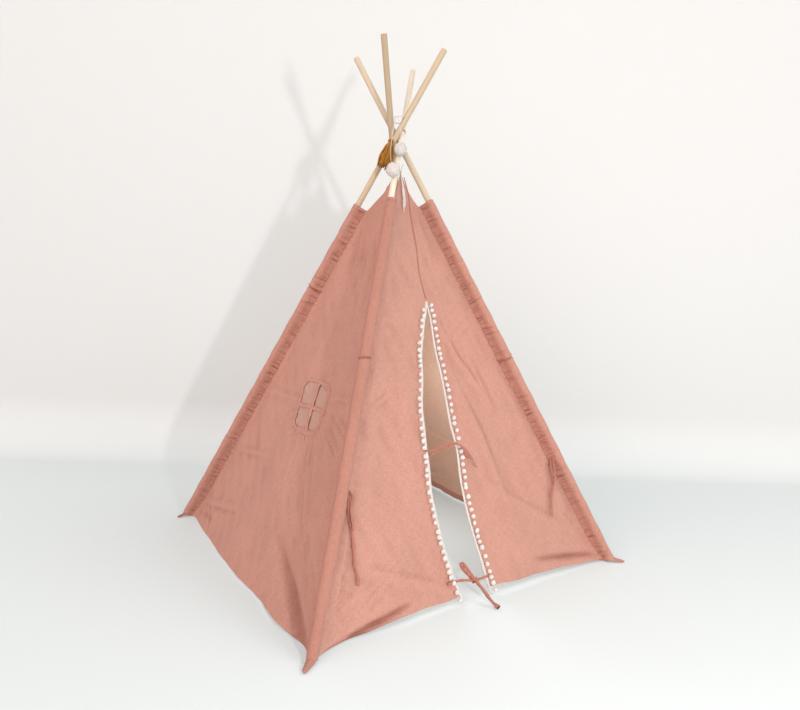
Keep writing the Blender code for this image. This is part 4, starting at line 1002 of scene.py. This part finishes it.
for number, pole in enumerate(POLE_SIDES):
    slim = pole == "front_left"
    foot, along = (np.array(v) for v in pole_line(pole))
    fin = np.array(fin_direction(pole))
    aside = np.cross(along, fin)
    length = (POCKET_TOP[pole] - POLE_FOOT_HEIGHT) / along[2]
    beyond = np.concatenate([np.cos(np.linspace(0.06, math.pi / 2, FOOT_RINGS)), np.zeros(SLEEVE_RINGS)])
    d = np.concatenate([np.zeros(FOOT_RINGS), np.linspace(0.0012, length, SLEEVE_RINGS)])[:, None]
    dice = np.random.RandomState(20 + number)
    waves = dice.uniform(0, math.tau, 6)
    pinch = np.zeros((len(d), f.shape[1]))
    place = 0.006
    while place < length - 0.004:
        for hand in (-1, 1):
            at, slant = place + dice.uniform(-0.004, 0.004), dice.uniform(-0.35, 0.20)
            deep, reach = dice.uniform(0.3, 1) ** 1.3, dice.uniform(0.012, 0.030 if slim else 0.052)
            gap = (d - at - slant * (FIN_EDGE - f)) / dice.uniform(0.0014, 0.0026)
            pinch += deep * dent(gap) * np.clip((f - FIN_EDGE + reach) / 0.009, 0, 1) * (aside_by * hand > 0)
        place += dice.uniform(0.0050, 0.0125)
    gap = (d - (BIG_TUCK[pole] - POLE_FOOT_HEIGHT) / along[2] + 0.25 * aside_by) / BIG_TUCK_WIDTH
    bulge = 0.0016 if slim else 0.0030
    hem = dent((d - length + HEM_FROM_TOP) / STITCH_WIDTH)
    push = 0.0008 * np.sin(d * 150 + waves[0] + 3 * np.sin(d * 37)) * (1 - sleeve * 0.7)
    push = push - (GATHER_DEPTH - 0.0016 * sleeve) * pinch + 0.0009 * sleeve
    push = push - 0.0011 * dent(gap) + bulge * dent(gap - 1.8) + bulge * 0.7 * dent(gap + 2.0)
    push = push + 0.0007 * np.sin(d * 62 + waves[1]) * sleeve - 0.0008 * hem
    # Painted shade: darker in each gather, in the big tuck and along the stitching of the hem, over the
    # whole sleeve, most on the front left pocket, and on the fin.
    pocket_shade = (0.50 - 0.18 * sleeve) * pinch + 0.55 * dent(gap) + 0.3 * hem
    pocket_shade = pocket_shade + (0.34 if slim else 0.10) * sleeve + 0.30 * (1 - sleeve) * (f > 0.014)
    along_fin = f + push * sleeve * f / size
    across_fin = aside_by * (1 + push / size)
    if slim:
        across_fin = across_fin * np.where(aside_by < 0, 0.95 + 0.47 * np.clip(d / 0.30, 0, 1), 1.0)
    # Past the pole's foot the closed end lies down on the floor and thins to a point.
    turn = np.linspace(0, math.tau, f.shape[1], endpoint=False)[None]
    lie = np.clip(beyond * 2.0, 0, 1)[:, None]
    lobe = 0.0070 * np.sin(turn) * (1 + 0.25 * np.sin(turn * 3 + beyond[:, None] * 5))
    along_fin = along_fin + (0.0042 * np.cos(turn) - along_fin) * lie
    across_fin = across_fin + (lobe - across_fin) * lie
    shrink = np.sqrt(np.clip(1 - beyond ** 4, 0.004, 1))[:, None]
    lift_axis = fin + (np.array([0, 0, 1.0]) - fin) * lie
    base = np.array(pole_place(pole, 0)) + along * d
    base = base + (np.array([*(foot[:2] + LOOSE_END[pole]), 0.0050]) - base) * beyond[:, None]
    places = base[:, None] + lift_axis[:, None] * (along_fin * shrink)[..., None]
    places = places + aside * (across_fin * shrink)[..., None]
    places[..., 2] = np.maximum(places[..., 2], FLOOR_CLEAR)
    points, faces, flat = tube_of(places, [float(v) for v in d[:, 0]], 0.11, caps=1)
    pocket = make_piece("cloth_pocket_" + pole, points, faces, [ROSE], flat, painted_shades=np.clip(pocket_shade, 0, 0.9))
    probe = pocket.data.polygons[f.shape[1] * 300]
    if probe.normal.dot(Vector(aside)) * Vector(aside).dot(probe.center - pole_place(pole, 0.5)) < 0:
        pocket.data.flip_normals()
    attach(thicken(pocket, POCKET_CLOTH), BODY_OF[pole], "cover", "pocket_" + pole,
           flat=(POCKET_FLAT, length), held="gathered")

# THE POMPOM TRIM
# A cotton tape is stitched over each flap's edge. A strand of small wool balls, about 14 mm across and
# 20 mm apart, hangs from the tape on short threads, and no two balls sit quite alike.
SLIT_TOP = 0.838
BALL_RADIUS = 0.0070
BALL_PACE = 0.0198
BALL_OUT = 0.0088
BALL_LIFT = 0.0050


def felted(tree):
    """Felted wool: painted shade in faint grey, 2 to 4 mm apart, in the dips between fibres and tufts."""
    place = add(tree, "ShaderNodeTexCoord").outputs["Object"]
    fibre = add(tree, "ShaderNodeTexNoise", {"Vector": place, "Scale": 420.0, "Detail": 4.0,
                                             "Roughness": 0.7})
    tuft = add(tree, "ShaderNodeTexVoronoi", {"Vector": place, "Scale": 260.0}).outputs["Distance"]
    both = add(tree, "ShaderNodeMath", {0: fibre, 1: tuft}, operation="MULTIPLY")
    return add(tree, "ShaderNodeMapRange", {"Value": both, "From Min": 0.02, "From Max": 0.28}), fibre


def white_wool(name, shade):
    """No shine at all, and a soft bloom at the edge."""
    return blend(name, 1.0, ("#FFFFFD", shade), felted, (0.6, 0.0012), Sheen_Weight=0.5, Sheen_Roughness=0.7,
                 Specular_IOR_Level=0.05, Subsurface_Weight=0.12, Subsurface_Scale=0.004)


def cross_rib(tree):
    """A cross rib. It is drawn each 3 mm, since the real one is too fine to show."""
    flat = add(tree, "ShaderNodeUVMap", uv_map="UVMap")
    rib = add(tree, "ShaderNodeTexWave", {"Vector": flat, "Scale": 105.0, "Distortion": 0.6},
              wave_type="BANDS", bands_direction="Y").outputs["Fac"]
    return rib, rib


WOOL = white_wool("white felted wool", "#EFEBE5")
TAPE = blend("white cotton tape", 0.9, ("#F4F1EC", "#E2DDD6"), cross_rib, (0.4, 0.0004), Sheen_Weight=0.15,
             Specular_IOR_Level=0.15)


def new_tree(name, result, **given):
    """A geometry tree with its named inputs and its output, and the sockets of what it is given."""
    tree = bpy.data.node_groups.new(name, "GeometryNodeTree")
    for label, kind in given.items():
        tree.interface.new_socket(label.replace("_", " "), in_out="INPUT", socket_type="NodeSocket" + kind)
    tree.interface.new_socket(result, in_out="OUTPUT", socket_type="NodeSocketGeometry")
    return tree, add(tree, "NodeGroupInput").outputs


def end_tree(tree, real, finish):
    painted = add(tree, "GeometryNodeSetMaterial", {"Geometry": real, "Material": finish})
    smooth = add(tree, "GeometryNodeSetShadeSmooth", {"Geometry": painted})
    add(tree, "NodeGroupOutput", {0: smooth})
    return tree


def lumpy(tree, geometry, scale, detail, depth):
    """Pushes a round shape in and out by a few tenths of a millimetre."""
    lump = add(tree, "ShaderNodeTexNoise", {"Scale": scale, "Detail": detail})
    push = add(tree, "ShaderNodeMapRange", {"Value": lump, "To Min": -depth, "To Max": depth})
    way = add(tree, "GeometryNodeInputNormal")
    shift = add(tree, "ShaderNodeVectorMath", {0: way, 1: push}, operation="MULTIPLY")
    return add(tree, "GeometryNodeSetPosition", {"Geometry": geometry, "Offset": shift})


def ball_strand():
    """Wool balls on the given places, each turned and sized by chance, as one mesh."""
    tree, given = new_tree("ball strand", "Balls", Places="Geometry", Ball_radius="Float", Seed="Int",
                           Finish="Material")
    ball = add(tree, "GeometryNodeMeshIcoSphere", {"Radius": given["Ball radius"], "Subdivisions": 3})
    turn = add(tree, "FunctionNodeRandomValue", {"Max": (6.28, 6.28, 6.28), "Seed": given["Seed"]},
               data_type="FLOAT_VECTOR")
    size = add(tree, "FunctionNodeRandomValue", {0: (0.86, 0.86, 0.80), 1: (1.12, 1.10, 1.06),
                                                 "Seed": given["Seed"]}, data_type="FLOAT_VECTOR")
    spread = add(tree, "GeometryNodeInstanceOnPoints", {
        "Points": given["Places"], "Instance": lumpy(tree, ball, 260.0, 2.0, 0.0012), "Rotation": turn,
        "Scale": size})
    real = add(tree, "GeometryNodeRealizeInstances", {"Geometry": spread})
    return end_tree(tree, real, given["Finish"])


def grow(made, tree, **values):
    """Runs a geometry tree on a piece with the named inputs, and keeps the mesh that it makes."""
    by_nodes = made.modifiers.new(tree.name, "NODES")
    by_nodes.node_group = tree
    names = {item.name: item.identifier for item in tree.interface.items_tree if item.in_out == "INPUT"}
    for name, value in values.items():
        by_nodes[names[name.replace("_", " ")]] = value
    return settle(made)


STRAND = ball_strand()
for hand, inwards, seed in (("left", -1, 31), ("right", 1, 32)):
    levels = np.linspace(0.004, 0.8455, 240)
    line = np.stack([slit_place(hand, levels), levels], -1)
    widths = [-inwards * w for w in (0.0018, -0.0007, -0.0009, 0.0003, 0.0028, 0.0056, 0.0061)]
    lifts = [lambda t, h=h: h + 0.0002 * np.sin(t * 190)
             for h in (-0.0032, -0.0030, 0.0004, 0.0016, 0.0017, 0.0015, 0.0002)]
    tape = strip("tape_" + hand, "door", line, widths, lifts, [TAPE], 0.0005)
    attach(tape, hand + "_flap", "white_cotton", "trim_tape_" + hand, fold=hand, flat=(0.0135, 0.92),
           held="stretched")
    dice = np.random.RandomState(seed)
    places, level = [], 0.010
    while level < SLIT_TOP:
        aside = BALL_OUT + dice.uniform(-0.0024, 0.0026)
        lift = BALL_LIFT + dice.uniform(0, 0.0012)
        places.append((slit_place(hand, level) + inwards * aside, level, lift))
        level += BALL_PACE * dice.uniform(0.72, 1.28) * (0.5 if dice.uniform() < 0.06 else 1.0)
    across, level, lift = np.array(places).T
    centres = side_points("door", share_at("door", across, level), level, lift)
    balls = make_piece("balls_" + hand, centres, [], [WOOL])
    grow(balls, STRAND, Ball_radius=BALL_RADIUS, Seed=seed, Finish=WOOL)
    attach(balls, hand + "_flap", "white_wool", "trim_balls_" + hand, fold=hand)

# THE TIES
# Straps of the cover's cotton, folded in four and stitched: two hang at each side of the door, to tie
# it back. One pair crosses the slit at mid height, and one is tied in a bow at its foot.
UPRIGHT = Vector((0, 0.3679, 0.9299))
ACROSS_X = Vector((1, 0, 0))
STRAP_SECTION = ((1, 0), (0.85, 0.8), (0.3, 1), (-0.3, 0.85), (-0.85, 0.8), (-1, 0), (-0.85, -0.8),
                 (-0.3, -1), (0.3, -0.85), (0.85, -0.8))
# The loose straps hang this much further off the cloth from their third place on.
HANG_OFF = Vector((0, -0.0045, 0.0015))


def smooth_line(keys, pace=0.004):
    """A soft curve through the given places, with a point every few millimetres."""
    keys = [Vector(k) for k in keys]
    keys = [keys[0] * 2 - keys[1], *keys, keys[-1] * 2 - keys[-2]]
    line = []
    for a, b, c, d in zip(keys, keys[1:], keys[2:], keys[3:]):
        count = max(2, round((c - b).length / pace))
        for i in range(count):
            t = i / count
            line.append(0.5 * ((2 * b) + (c - a) * t + (2 * a - 5 * b + 4 * c - d) * t ** 2
                               + (3 * b - a - 3 * c + d) * t ** 3))
    return line + [keys[-2]]


def strap(name, keys, across, width, thick, materials, waves=0.0, narrow=None):
    """A flat strap along a curve. Its width lies along a given direction, and may narrow along it."""
    line = smooth_line(keys)
    rings, run = [], [0.0]
    for k, centre in enumerate(line):
        ahead = (line[min(k + 1, len(line) - 1)] - line[max(k - 1, 0)]).normalized()
        wide = (across - ahead * across.dot(ahead)).normalized()
        flat = ahead.cross(wide)
        t = k / (len(line) - 1)
        w = width / 2 * (narrow(t) if narrow else 1.0) * (1 + waves * math.sin(k * 0.9) * math.sin(k * 0.37))
        h = thick / 2 * (1 + 0.25 * math.sin(k * 0.61))
        twist = waves * 0.9 * math.sin(k * 0.23)
        level, out = (wide * math.cos(twist) + flat * math.sin(twist),
                      flat * math.cos(twist) - wide * math.sin(twist))
        rings.append([centre + level * (w * a) + out * (h * b) for a, b in STRAP_SECTION])
        if k:
            run.append(run[-1] + (centre - line[k - 1]).length)
    points, faces, flat = tube_of(rings, run, width * 2)
    kinds = [0] * (len(faces) - 1) + [len(materials) - 1]
    made = make_piece(name, points, faces, materials, flat, kinds)
    made.data.set_sharp_from_angle(angle=math.radians(70))
    return made, run[-1]


def join(name, pieces):
    """Several meshes of one material as one piece."""
    bm = bmesh.new()
    for piece in pieces:
        bm.from_mesh(piece.data)
    mesh = bpy.data.meshes.new(name)
    bm.to_mesh(mesh)
    bm.free()
    mesh.materials.append(pieces[0].data.materials[0])
    mesh.shade_smooth()
    for piece in pieces:
        bpy.data.objects.remove(piece)
    return show(name, mesh)


for name, hand, keys in (
        ("left_long", "left", ((-0.3779, -0.3897, 0.3416), (-0.3796, -0.3996, 0.3274),
         (-0.3854, -0.4065, 0.3101), (-0.3884, -0.4180, 0.2783), (-0.3877, -0.4336, 0.2388),
         (-0.3902, -0.4489, 0.2002), (-0.3935, -0.4639, 0.1623), (-0.3904, -0.4742, 0.1363),
         (-0.3935, -0.4805, 0.1176))),
        ("left_short", "left", ((-0.3779, -0.3897, 0.3416), (-0.3745, -0.3992, 0.3340),
         (-0.3739, -0.4057, 0.3227), (-0.3843, -0.4178, 0.2919), (-0.3849, -0.4292, 0.2658),
         (-0.3849, -0.4361, 0.2458))),
        ("right_long", "right", ((0.4095, -0.3870, 0.3485), (0.3931, -0.4005, 0.3225),
         (0.3840, -0.4118, 0.2940), (0.3734, -0.4296, 0.2517), (0.3615, -0.4366, 0.2313),
         (0.3520, -0.4446, 0.2111), (0.3394, -0.4635, 0.1633))),
        ("right_short", "right", ((0.4095, -0.3870, 0.3485), (0.4014, -0.4018, 0.3298),
         (0.3897, -0.4179, 0.2943), (0.3785, -0.4280, 0.2661), (0.3689, -0.4347, 0.2492)))):
    keys = [Vector(k) + HANG_OFF * min(i, 2) for i, k in enumerate(keys)]
    tie, length = strap("strap_" + name, keys, ACROSS_X, 0.0080, 0.0026, [SHADED_COTTON], 0.35)
    attach(tie, hand + "_frame", "cover", "tie_" + name, fold=hand, flat=(0.010, length), held="hung")

middle_strands = (
    ((-0.1062, -0.3580, 0.4069), (-0.0899, -0.3640, 0.4079), (-0.0664, -0.3683, 0.4090),
     (-0.0437, -0.3702, 0.4170), (-0.0194, -0.3687, 0.4233), (0.0018, -0.3710, 0.4230),
     (0.0171, -0.3742, 0.4175), (0.0331, -0.3782, 0.4046), (0.0505, -0.3856, 0.3855),
     (0.0606, -0.3918, 0.3672), (0.0695, -0.3998, 0.3444)),
    ((-0.0937, -0.3673, 0.3738), (-0.0877, -0.3678, 0.3889), (-0.0658, -0.3669, 0.4017),
     (-0.0426, -0.3665, 0.4081), (-0.0190, -0.3660, 0.4137), (0.0024, -0.3707, 0.4186),
     (0.0185, -0.3786, 0.4152), (0.0306, -0.3834, 0.3999), (0.0424, -0.3889, 0.3801),
     (0.0498, -0.3909, 0.3725)))
strands = [strap("strand", keys, UPRIGHT, 0.0054, 0.0022, [SHADED_COTTON], 0.3)[0] for keys in middle_strands]
attach(join("strap_middle", strands), "left_flap", "cover", "tie_middle", fold="left",
       flat=(0.010, 0.40), held="hung", area=0.0022)

# THE BOW
# The foot of the slit is tied with the same strap: a strand from each flap, a round knot, one upright
# loop, and a loose tail that runs out over the floor and shows its open, unsewn end.
HOLLOW = new_finish("shadowed strap end", 1.0, Base_Color=dyed("#2F1F19"))[0]
KNOT_PLACE = Vector((-0.0170, -0.5060, 0.0534))


def open_end(t):
    return np.interp(t, (0, 0.8, 1), (0.9, 0.9, 1.35))


for name, body, across, width, thick, narrow, keys in (
        ("bow_left_tail", "left_flap", UPRIGHT, 0.0075, 0.0024, None, ((-0.108, -0.4988, 0.0587),
         (-0.076, -0.4982, 0.0608), (-0.05, -0.5013, 0.0586), (-0.0255, -0.5057, 0.0534))),
        ("bow_right_tail", "right_flap", UPRIGHT, 0.0075, 0.0024, None, ((-0.0085, -0.5057, 0.0534),
         (0, -0.5046, 0.0506), (0.008, -0.5026, 0.0498), (0.03, -0.5021, 0.0508),
         (0.05, -0.5015, 0.0517))),
        ("bow_front_tail", "left_flap", Vector((0.75, 0.5, 0.35)), 0.0090, 0.0072, open_end, (
         (-0.0170, -0.5125, 0.0544), (-0.0110, -0.5350, 0.0380), (-0.0060, -0.5600, 0.0200),
         (-0.0020, -0.5800, 0.0095), (-0.0001, -0.5925, 0.0065)))):
    part, length = strap("strap_" + name, keys, across, width, thick, [SHADED_COTTON, HOLLOW], 0.2, narrow)
    attach(part, body, "cover", name, fold=body.split("_")[0], flat=(0.012, length), held="hung")
outer_loop = ((-0.0190, -0.5080, 0.0580), (-0.0320, -0.5000, 0.0800), (-0.0460, -0.4950, 0.0985),
              (-0.0535, -0.4930, 0.1080), (-0.0595, -0.4915, 0.1045), (-0.0500, -0.4905, 0.0895),
              (-0.0360, -0.4935, 0.0728), (-0.0220, -0.5010, 0.0545))
loop, length = strap("strap_loop", outer_loop, Vector((0.6, -0.5, 0.5)), 0.0088, 0.0022, [SHADED_COTTON], 0.2)
attach(loop, "left_flap", "cover", "bow_loop", fold="left", flat=(0.010, length), held="folded")
knot_line = [KNOT_PLACE + Vector((0.0052 * math.cos(a), -0.0042 * math.sin(a),
                                  0.0060 * math.sin(a) + 0.0028 * math.cos(2 * a)))
             for a in np.linspace(0, math.tau * 1.15, 16)]
knot = strap("strap_knot", knot_line, Vector((0.5, 0.3, 0.8)), 0.0085, 0.0046, [SHADED_COTTON], 0.3)[0]
attach(knot, "left_flap", "cover", "bow_knot", fold="left")

# THE CROWN LASHING
# One white cotton cord goes through the four drilled holes and ties the poles in a loose ring. The
# pompoms and the tassel hang from it on finer white strings.
CORD_RADIUS = 0.0015
STRING_RADIUS = 0.0008
# Twisted cotton: white strands with a slanting shadow between them.
STRING = blend("white twisted cotton", 0.85, ("#F7F4EE", "#DAD3C8"), fine_lines, Specular_IOR_Level=0.2)


def cord(name, route, radius, body, node, far_end, lay="hanging", **more):
    """A cord along its route."""
    curve = bpy.data.curves.new(name, "CURVE")
    curve.dimensions = "3D"
    curve.bevel_depth = radius
    curve.bevel_resolution = 3
    curve.use_fill_caps = True
    spline = curve.splines.new("POLY")
    spline.points.add(len(route) - 1)
    for point, place in zip(spline.points, route):
        point.co = (*place, 1.0)
    curve.materials.append(STRING)
    made = attach(show(name, curve), body, "white_cotton", node)


QUARTER = ((0.0414, 0.00105, 1.45391), (0.04224, 0.00354, 1.4541), (0.03996, 0.00418, 1.45328),
           (0.03606, 0.01267, 1.45157), (0.03215, 0.02115, 1.44985), (0.03293, 0.02271, 1.44903),
           (0.03071, 0.02428, 1.44922), (0.01494, 0.03313, 1.45157))
lashing = [(x * c - y * s, x * s + y * c, z) for c, s in ((1, 0), (0, 1), (-1, 0), (0, -1))
           for x, y, z in QUARTER]
# The cord's two ends stop beside each other, short of the first and the last bend.
lashing[1] = (0.04117, 0.00155, 1.45381)
lashing[-3:] = [(0.02378, -0.03094, 1.44932), (0.02428, -0.03071, 1.44922)]
cord("cord_lashing", lashing, CORD_RADIUS, "crown", "crown_cord", "knot", "taut")

# THE POMPOMS
# Two balls of white felted wool, 49 and 46 mm across. Short fibre ends stand off them in a soft fuzz,
# and each is tied to the lashing by its own string.
def fuzzy_ball():
    tree, given = new_tree("fuzzy ball", "Fuzz", Ball="Geometry", Fibre_length="Float",
                           Fibres_each_square_metre="Float", Seed="Int", Finish="Material")
    rough = lumpy(tree, given["Ball"], 95.0, 3.0, 0.0014)
    scatter = add(tree, "GeometryNodeDistributePointsOnFaces", {
        "Mesh": rough, "Density": given["Fibres each square metre"], "Seed": given["Seed"]})
    fibre = add(tree, "GeometryNodeMeshCone", {"Vertices": 3, "Radius Top": 0.00005,
                                               "Radius Bottom": 0.00022, "Depth": given["Fibre length"]})
    lean = add(tree, "FunctionNodeRandomValue", {0: (-0.9, -0.9, -3.1), 1: (0.9, 0.9, 3.1),
                                                 "Seed": given["Seed"]}, data_type="FLOAT_VECTOR")
    tilt = add(tree, "FunctionNodeRotateRotation", {"Rotation": scatter.outputs["Rotation"], 1: lean},
               rotation_space="LOCAL")
    spread = add(tree, "GeometryNodeInstanceOnPoints", {"Points": scatter, "Instance": fibre,
                                                        "Rotation": tilt})
    real = add(tree, "GeometryNodeRealizeInstances", {"Geometry": spread})
    both = add(tree, "GeometryNodeJoinGeometry", {0: rough})
    wire(both, {0: real})
    return end_tree(tree, both, given["Finish"])


FUZZ = fuzzy_ball()
POMPOM_WOOL = white_wool("white pompom wool", "#F0ECE6")
for name, centre, radius, route in (
        ("low", (-0.0655, -0.0850, 1.2640), 0.0222,
         ((-0.02497, -0.03059, 1.4503), (-0.03282, -0.03386, 1.41985), (-0.04368, -0.03876, 1.37737),
          (-0.05194, -0.04531, 1.342), (-0.0575, -0.0552, 1.3150), (-0.0620, -0.0660, 1.2960),
          (-0.0640, -0.0740, 1.2830))),
        ("high", (-0.0255, -0.0635, 1.3385), 0.0205,
         ((-0.02055, -0.03307, 1.45096), (-0.01755, -0.03631, 1.43394), (-0.01358, -0.0409, 1.41015),
          (-0.01172, -0.04516, 1.39), (-0.01408, -0.04877, 1.37713), (-0.01856, -0.05206, 1.36789),
          (-0.02191, -0.05432, 1.36179)))):
    bm = bmesh.new()
    bmesh.ops.create_icosphere(bm, subdivisions=5, radius=radius, matrix=Matrix.Translation(centre))
    mesh = bpy.data.meshes.new("ball_" + name)
    bm.to_mesh(mesh)
    bm.free()
    mesh.materials.append(POMPOM_WOOL)
    ball = show("wool_pompom_" + name, mesh)
    grow(ball, FUZZ, Fibre_length=0.0026, Fibres_each_square_metre=380000.0, Seed=5, Finish=POMPOM_WOOL)
    node = "pompom_" + name
    attach(ball, node, "white_wool", node)
    cord("cord_" + node, route, STRING_RADIUS, node, node + "_string", "fitting", with_pieces=[ball])

# THE TASSEL
# About a hundred mustard wool yarns, each 3.6 mm thick, are folded over the string and bound at the
# neck. Below it they spread, and their cut ends are uneven.
def twisted_yarn(tree):
    """Twisted woollen yarn: ochre on the strands, 2 mm apart, and painted shade in deep brown between them.
    """
    place = add(tree, "ShaderNodeTexCoord").outputs["Object"]
    ply = add(tree, "ShaderNodeTexNoise", {"Vector": place, "Scale": 520.0, "Detail": 3.0})
    hank = add(tree, "ShaderNodeTexNoise", {"Vector": place, "Scale": 70.0, "Detail": 1.0})
    return ply, hank, ply


YARN = blend("mustard wool yarn", 0.95, ("#E0A033", "#83500F", "#BF7F1C"), twisted_yarn, (0.8, 0.001),
             Sheen_Weight=0.25, Specular_IOR_Level=0.1)


def yarn_tree():
    tree, given = new_tree("yarn on lines", "Yarns", Lines="Geometry", Yarn_radius="Float",
                           Finish="Material")
    lines = add(tree, "GeometryNodeMeshToCurve", {"Mesh": given["Lines"]})
    ring = add(tree, "GeometryNodeCurvePrimitiveCircle", {"Resolution": 6, "Radius": given["Yarn radius"]})
    swept = add(tree, "GeometryNodeCurveToMesh", {"Curve": lines, "Profile Curve": ring, "Fill Caps": True})
    real = add(tree, "GeometryNodeRealizeInstances", {"Geometry": swept})
    return end_tree(tree, real, given["Finish"])


YARNS = yarn_tree()
NECK_DOWN = 0.0135
HEAD_YARNS = 22
SKIRT_YARNS = 96
SKIRT_END = 0.097
GOLDEN_TURN = 2.39996
TASSEL_TOP = Vector((-0.0362, -0.0239, 1.3760))
TASSEL_RUN = Vector((-0.2993, -0.0014, -0.9542)).normalized()
tassel_side = TASSEL_RUN.cross(Vector((0, 1, 0))).normalized()
tassel_front = TASSEL_RUN.cross(tassel_side)


def tassel_point(down, turn, out):
    around = tassel_side * (out * math.cos(turn)) + tassel_front * (out * math.sin(turn))
    return TASSEL_TOP + TASSEL_RUN * down + around


def yarns(part, lines, radius):
    """Yarns on the given lines, as one part of the tassel."""
    mesh = bpy.data.meshes.new("yarn_tassel_" + part)
    points, edges = [], []
    for line in lines:
        edges += [(len(points) + k, len(points) + k + 1) for k in range(len(line) - 1)]
        points += [tuple(p) for p in line]
    mesh.from_pydata(points, edges, [])
    mesh.materials.append(YARN)
    made = grow(show("yarn_tassel_" + part, mesh), YARNS, Yarn_radius=radius, Finish=YARN)
    attach(made, "tassel", "mustard_yarn", "tassel_" + part)


dice = np.random.RandomState(8)
skirt = []
for k in range(SKIRT_YARNS):
    share = math.sqrt((k + 0.5) / SKIRT_YARNS)
    cut = SKIRT_END + dice.uniform(-0.009, 0.003)
    wander, drift, kink = dice.uniform(-0.3, 0.3), dice.uniform(0.86, 1.10), dice.uniform(0, 6.3)
    line = []
    for down in np.linspace(NECK_DOWN, cut, 12):
        spread = (down - NECK_DOWN) / (cut - NECK_DOWN)
        width = (0.0050 + 0.0178 * min(1.0, spread * 1.9) ** 0.6) * (1 + 0.06 * math.sin(8 * spread + kink))
        turn = k * GOLDEN_TURN + wander * spread + 0.12 * math.sin(9 * spread + k)
        line.append(tassel_point(down, turn, width * share * drift))
    skirt.append(line)
yarns("skirt", skirt, 0.0018)
yarns("head", [[tassel_point(NECK_DOWN * t, math.tau * k / HEAD_YARNS,
                             0.0092 * math.sin(math.pi * min(1, 0.12 + t * 0.8)) ** 0.7)
                for t in np.linspace(0, 1, 9)] for k in range(HEAD_YARNS)], 0.0013)
yarns("neck", [[tassel_point(0.0115 + 0.0042 * t, t * math.tau * 4, 0.0056) for t in np.linspace(0, 1, 60)]],
      0.0007)
TASSEL_ROUTE = ((-0.02844, -0.02864, 1.44979), (-0.03015, -0.0276, 1.43362), (-0.03233, -0.02625, 1.41289),
                (-0.03446, -0.02491, 1.39233), (-0.0361, -0.02386, 1.37638))
cord("cord_tassel", TASSEL_ROUTE, STRING_RADIUS, "tassel", "tassel_string", "knot")

# THE TAPE END AND THE POLE'S RIBBON
# An end of white cotton tape hangs from the lashing over the door's peak and thins to a bare tip. A
# scrap of pink ribbon is wound once round the front left pole, below its hole.
tape_keys = ((0.004, -0.040, 1.300), (0.000, -0.034, 1.272), (-0.001, -0.048, 1.2261),
             (-0.004, -0.0635, 1.1805), (-0.0145, -0.079, 1.1349))
tape_end, length = strap("tape_end", tape_keys, Vector((0.83, -0.56, 0)), 0.0092, 0.0016, [TAPE], 0.15,
                         lambda t: np.interp(t, (0, 0.35, 0.55, 0.86, 0.90, 1),
                                             (0.35, 0.45, 0.95, 1.0, 0.35, 0.25)))
attach(tape_end, "crown", "white_cotton", "crown_tape", flat=(0.010, length), held="hung",
       area=0.007 * length)

RIBBON_HEIGHT = 1.414
RIBBON_INNER = 0.0102
along = pole_line("front_left")[1]
side, up = frame_round(along)
centre = pole_place("front_left", (RIBBON_HEIGHT - POLE_FOOT_HEIGHT) / along.z)


def drawn_in(ring):
    """A ring's points brought in level to the pole's skin."""
    middles = [centre + along * (p - centre).dot(along) for p in ring]
    return [middle + (p - middle).normalized() * RIBBON_INNER for middle, p in zip(middles, ring)]


rings = []
for row, (d, lift) in enumerate(((-0.0034, 0.0006), (-0.0030, 0.0014), (-0.0012, 0.0016), (0.0012, 0.0014),
                                 (0.0030, 0.0015), (0.0034, 0.0006))):
    ring = []
    for turn in np.arange(36) * (math.tau / 36):
        r = POLE_RADIUS + lift + 0.0003 * math.sin(turn * 5 + row)
        ring.append(centre + along * (d + 0.0008 * math.sin(turn * 2))
                    + side * (r * math.cos(turn)) + up * (r * math.sin(turn)))
    rings.append(ring)
rings = [drawn_in(rings[0]), *rings, drawn_in(rings[-1])]
points, faces, flat = tube_of(rings, [0.001 * k for k in range(len(rings))], 0.07, caps=0)
last = len(points) - 36
faces += [(last + i, last + (i + 1) % 36, (i + 1) % 36, i) for i in range(36)]
ribbon = make_piece("ribbon_crown", points, faces, [SHADED_COTTON], flat)
attach(ribbon, "left_frame", "ribbon", "crown_ribbon")
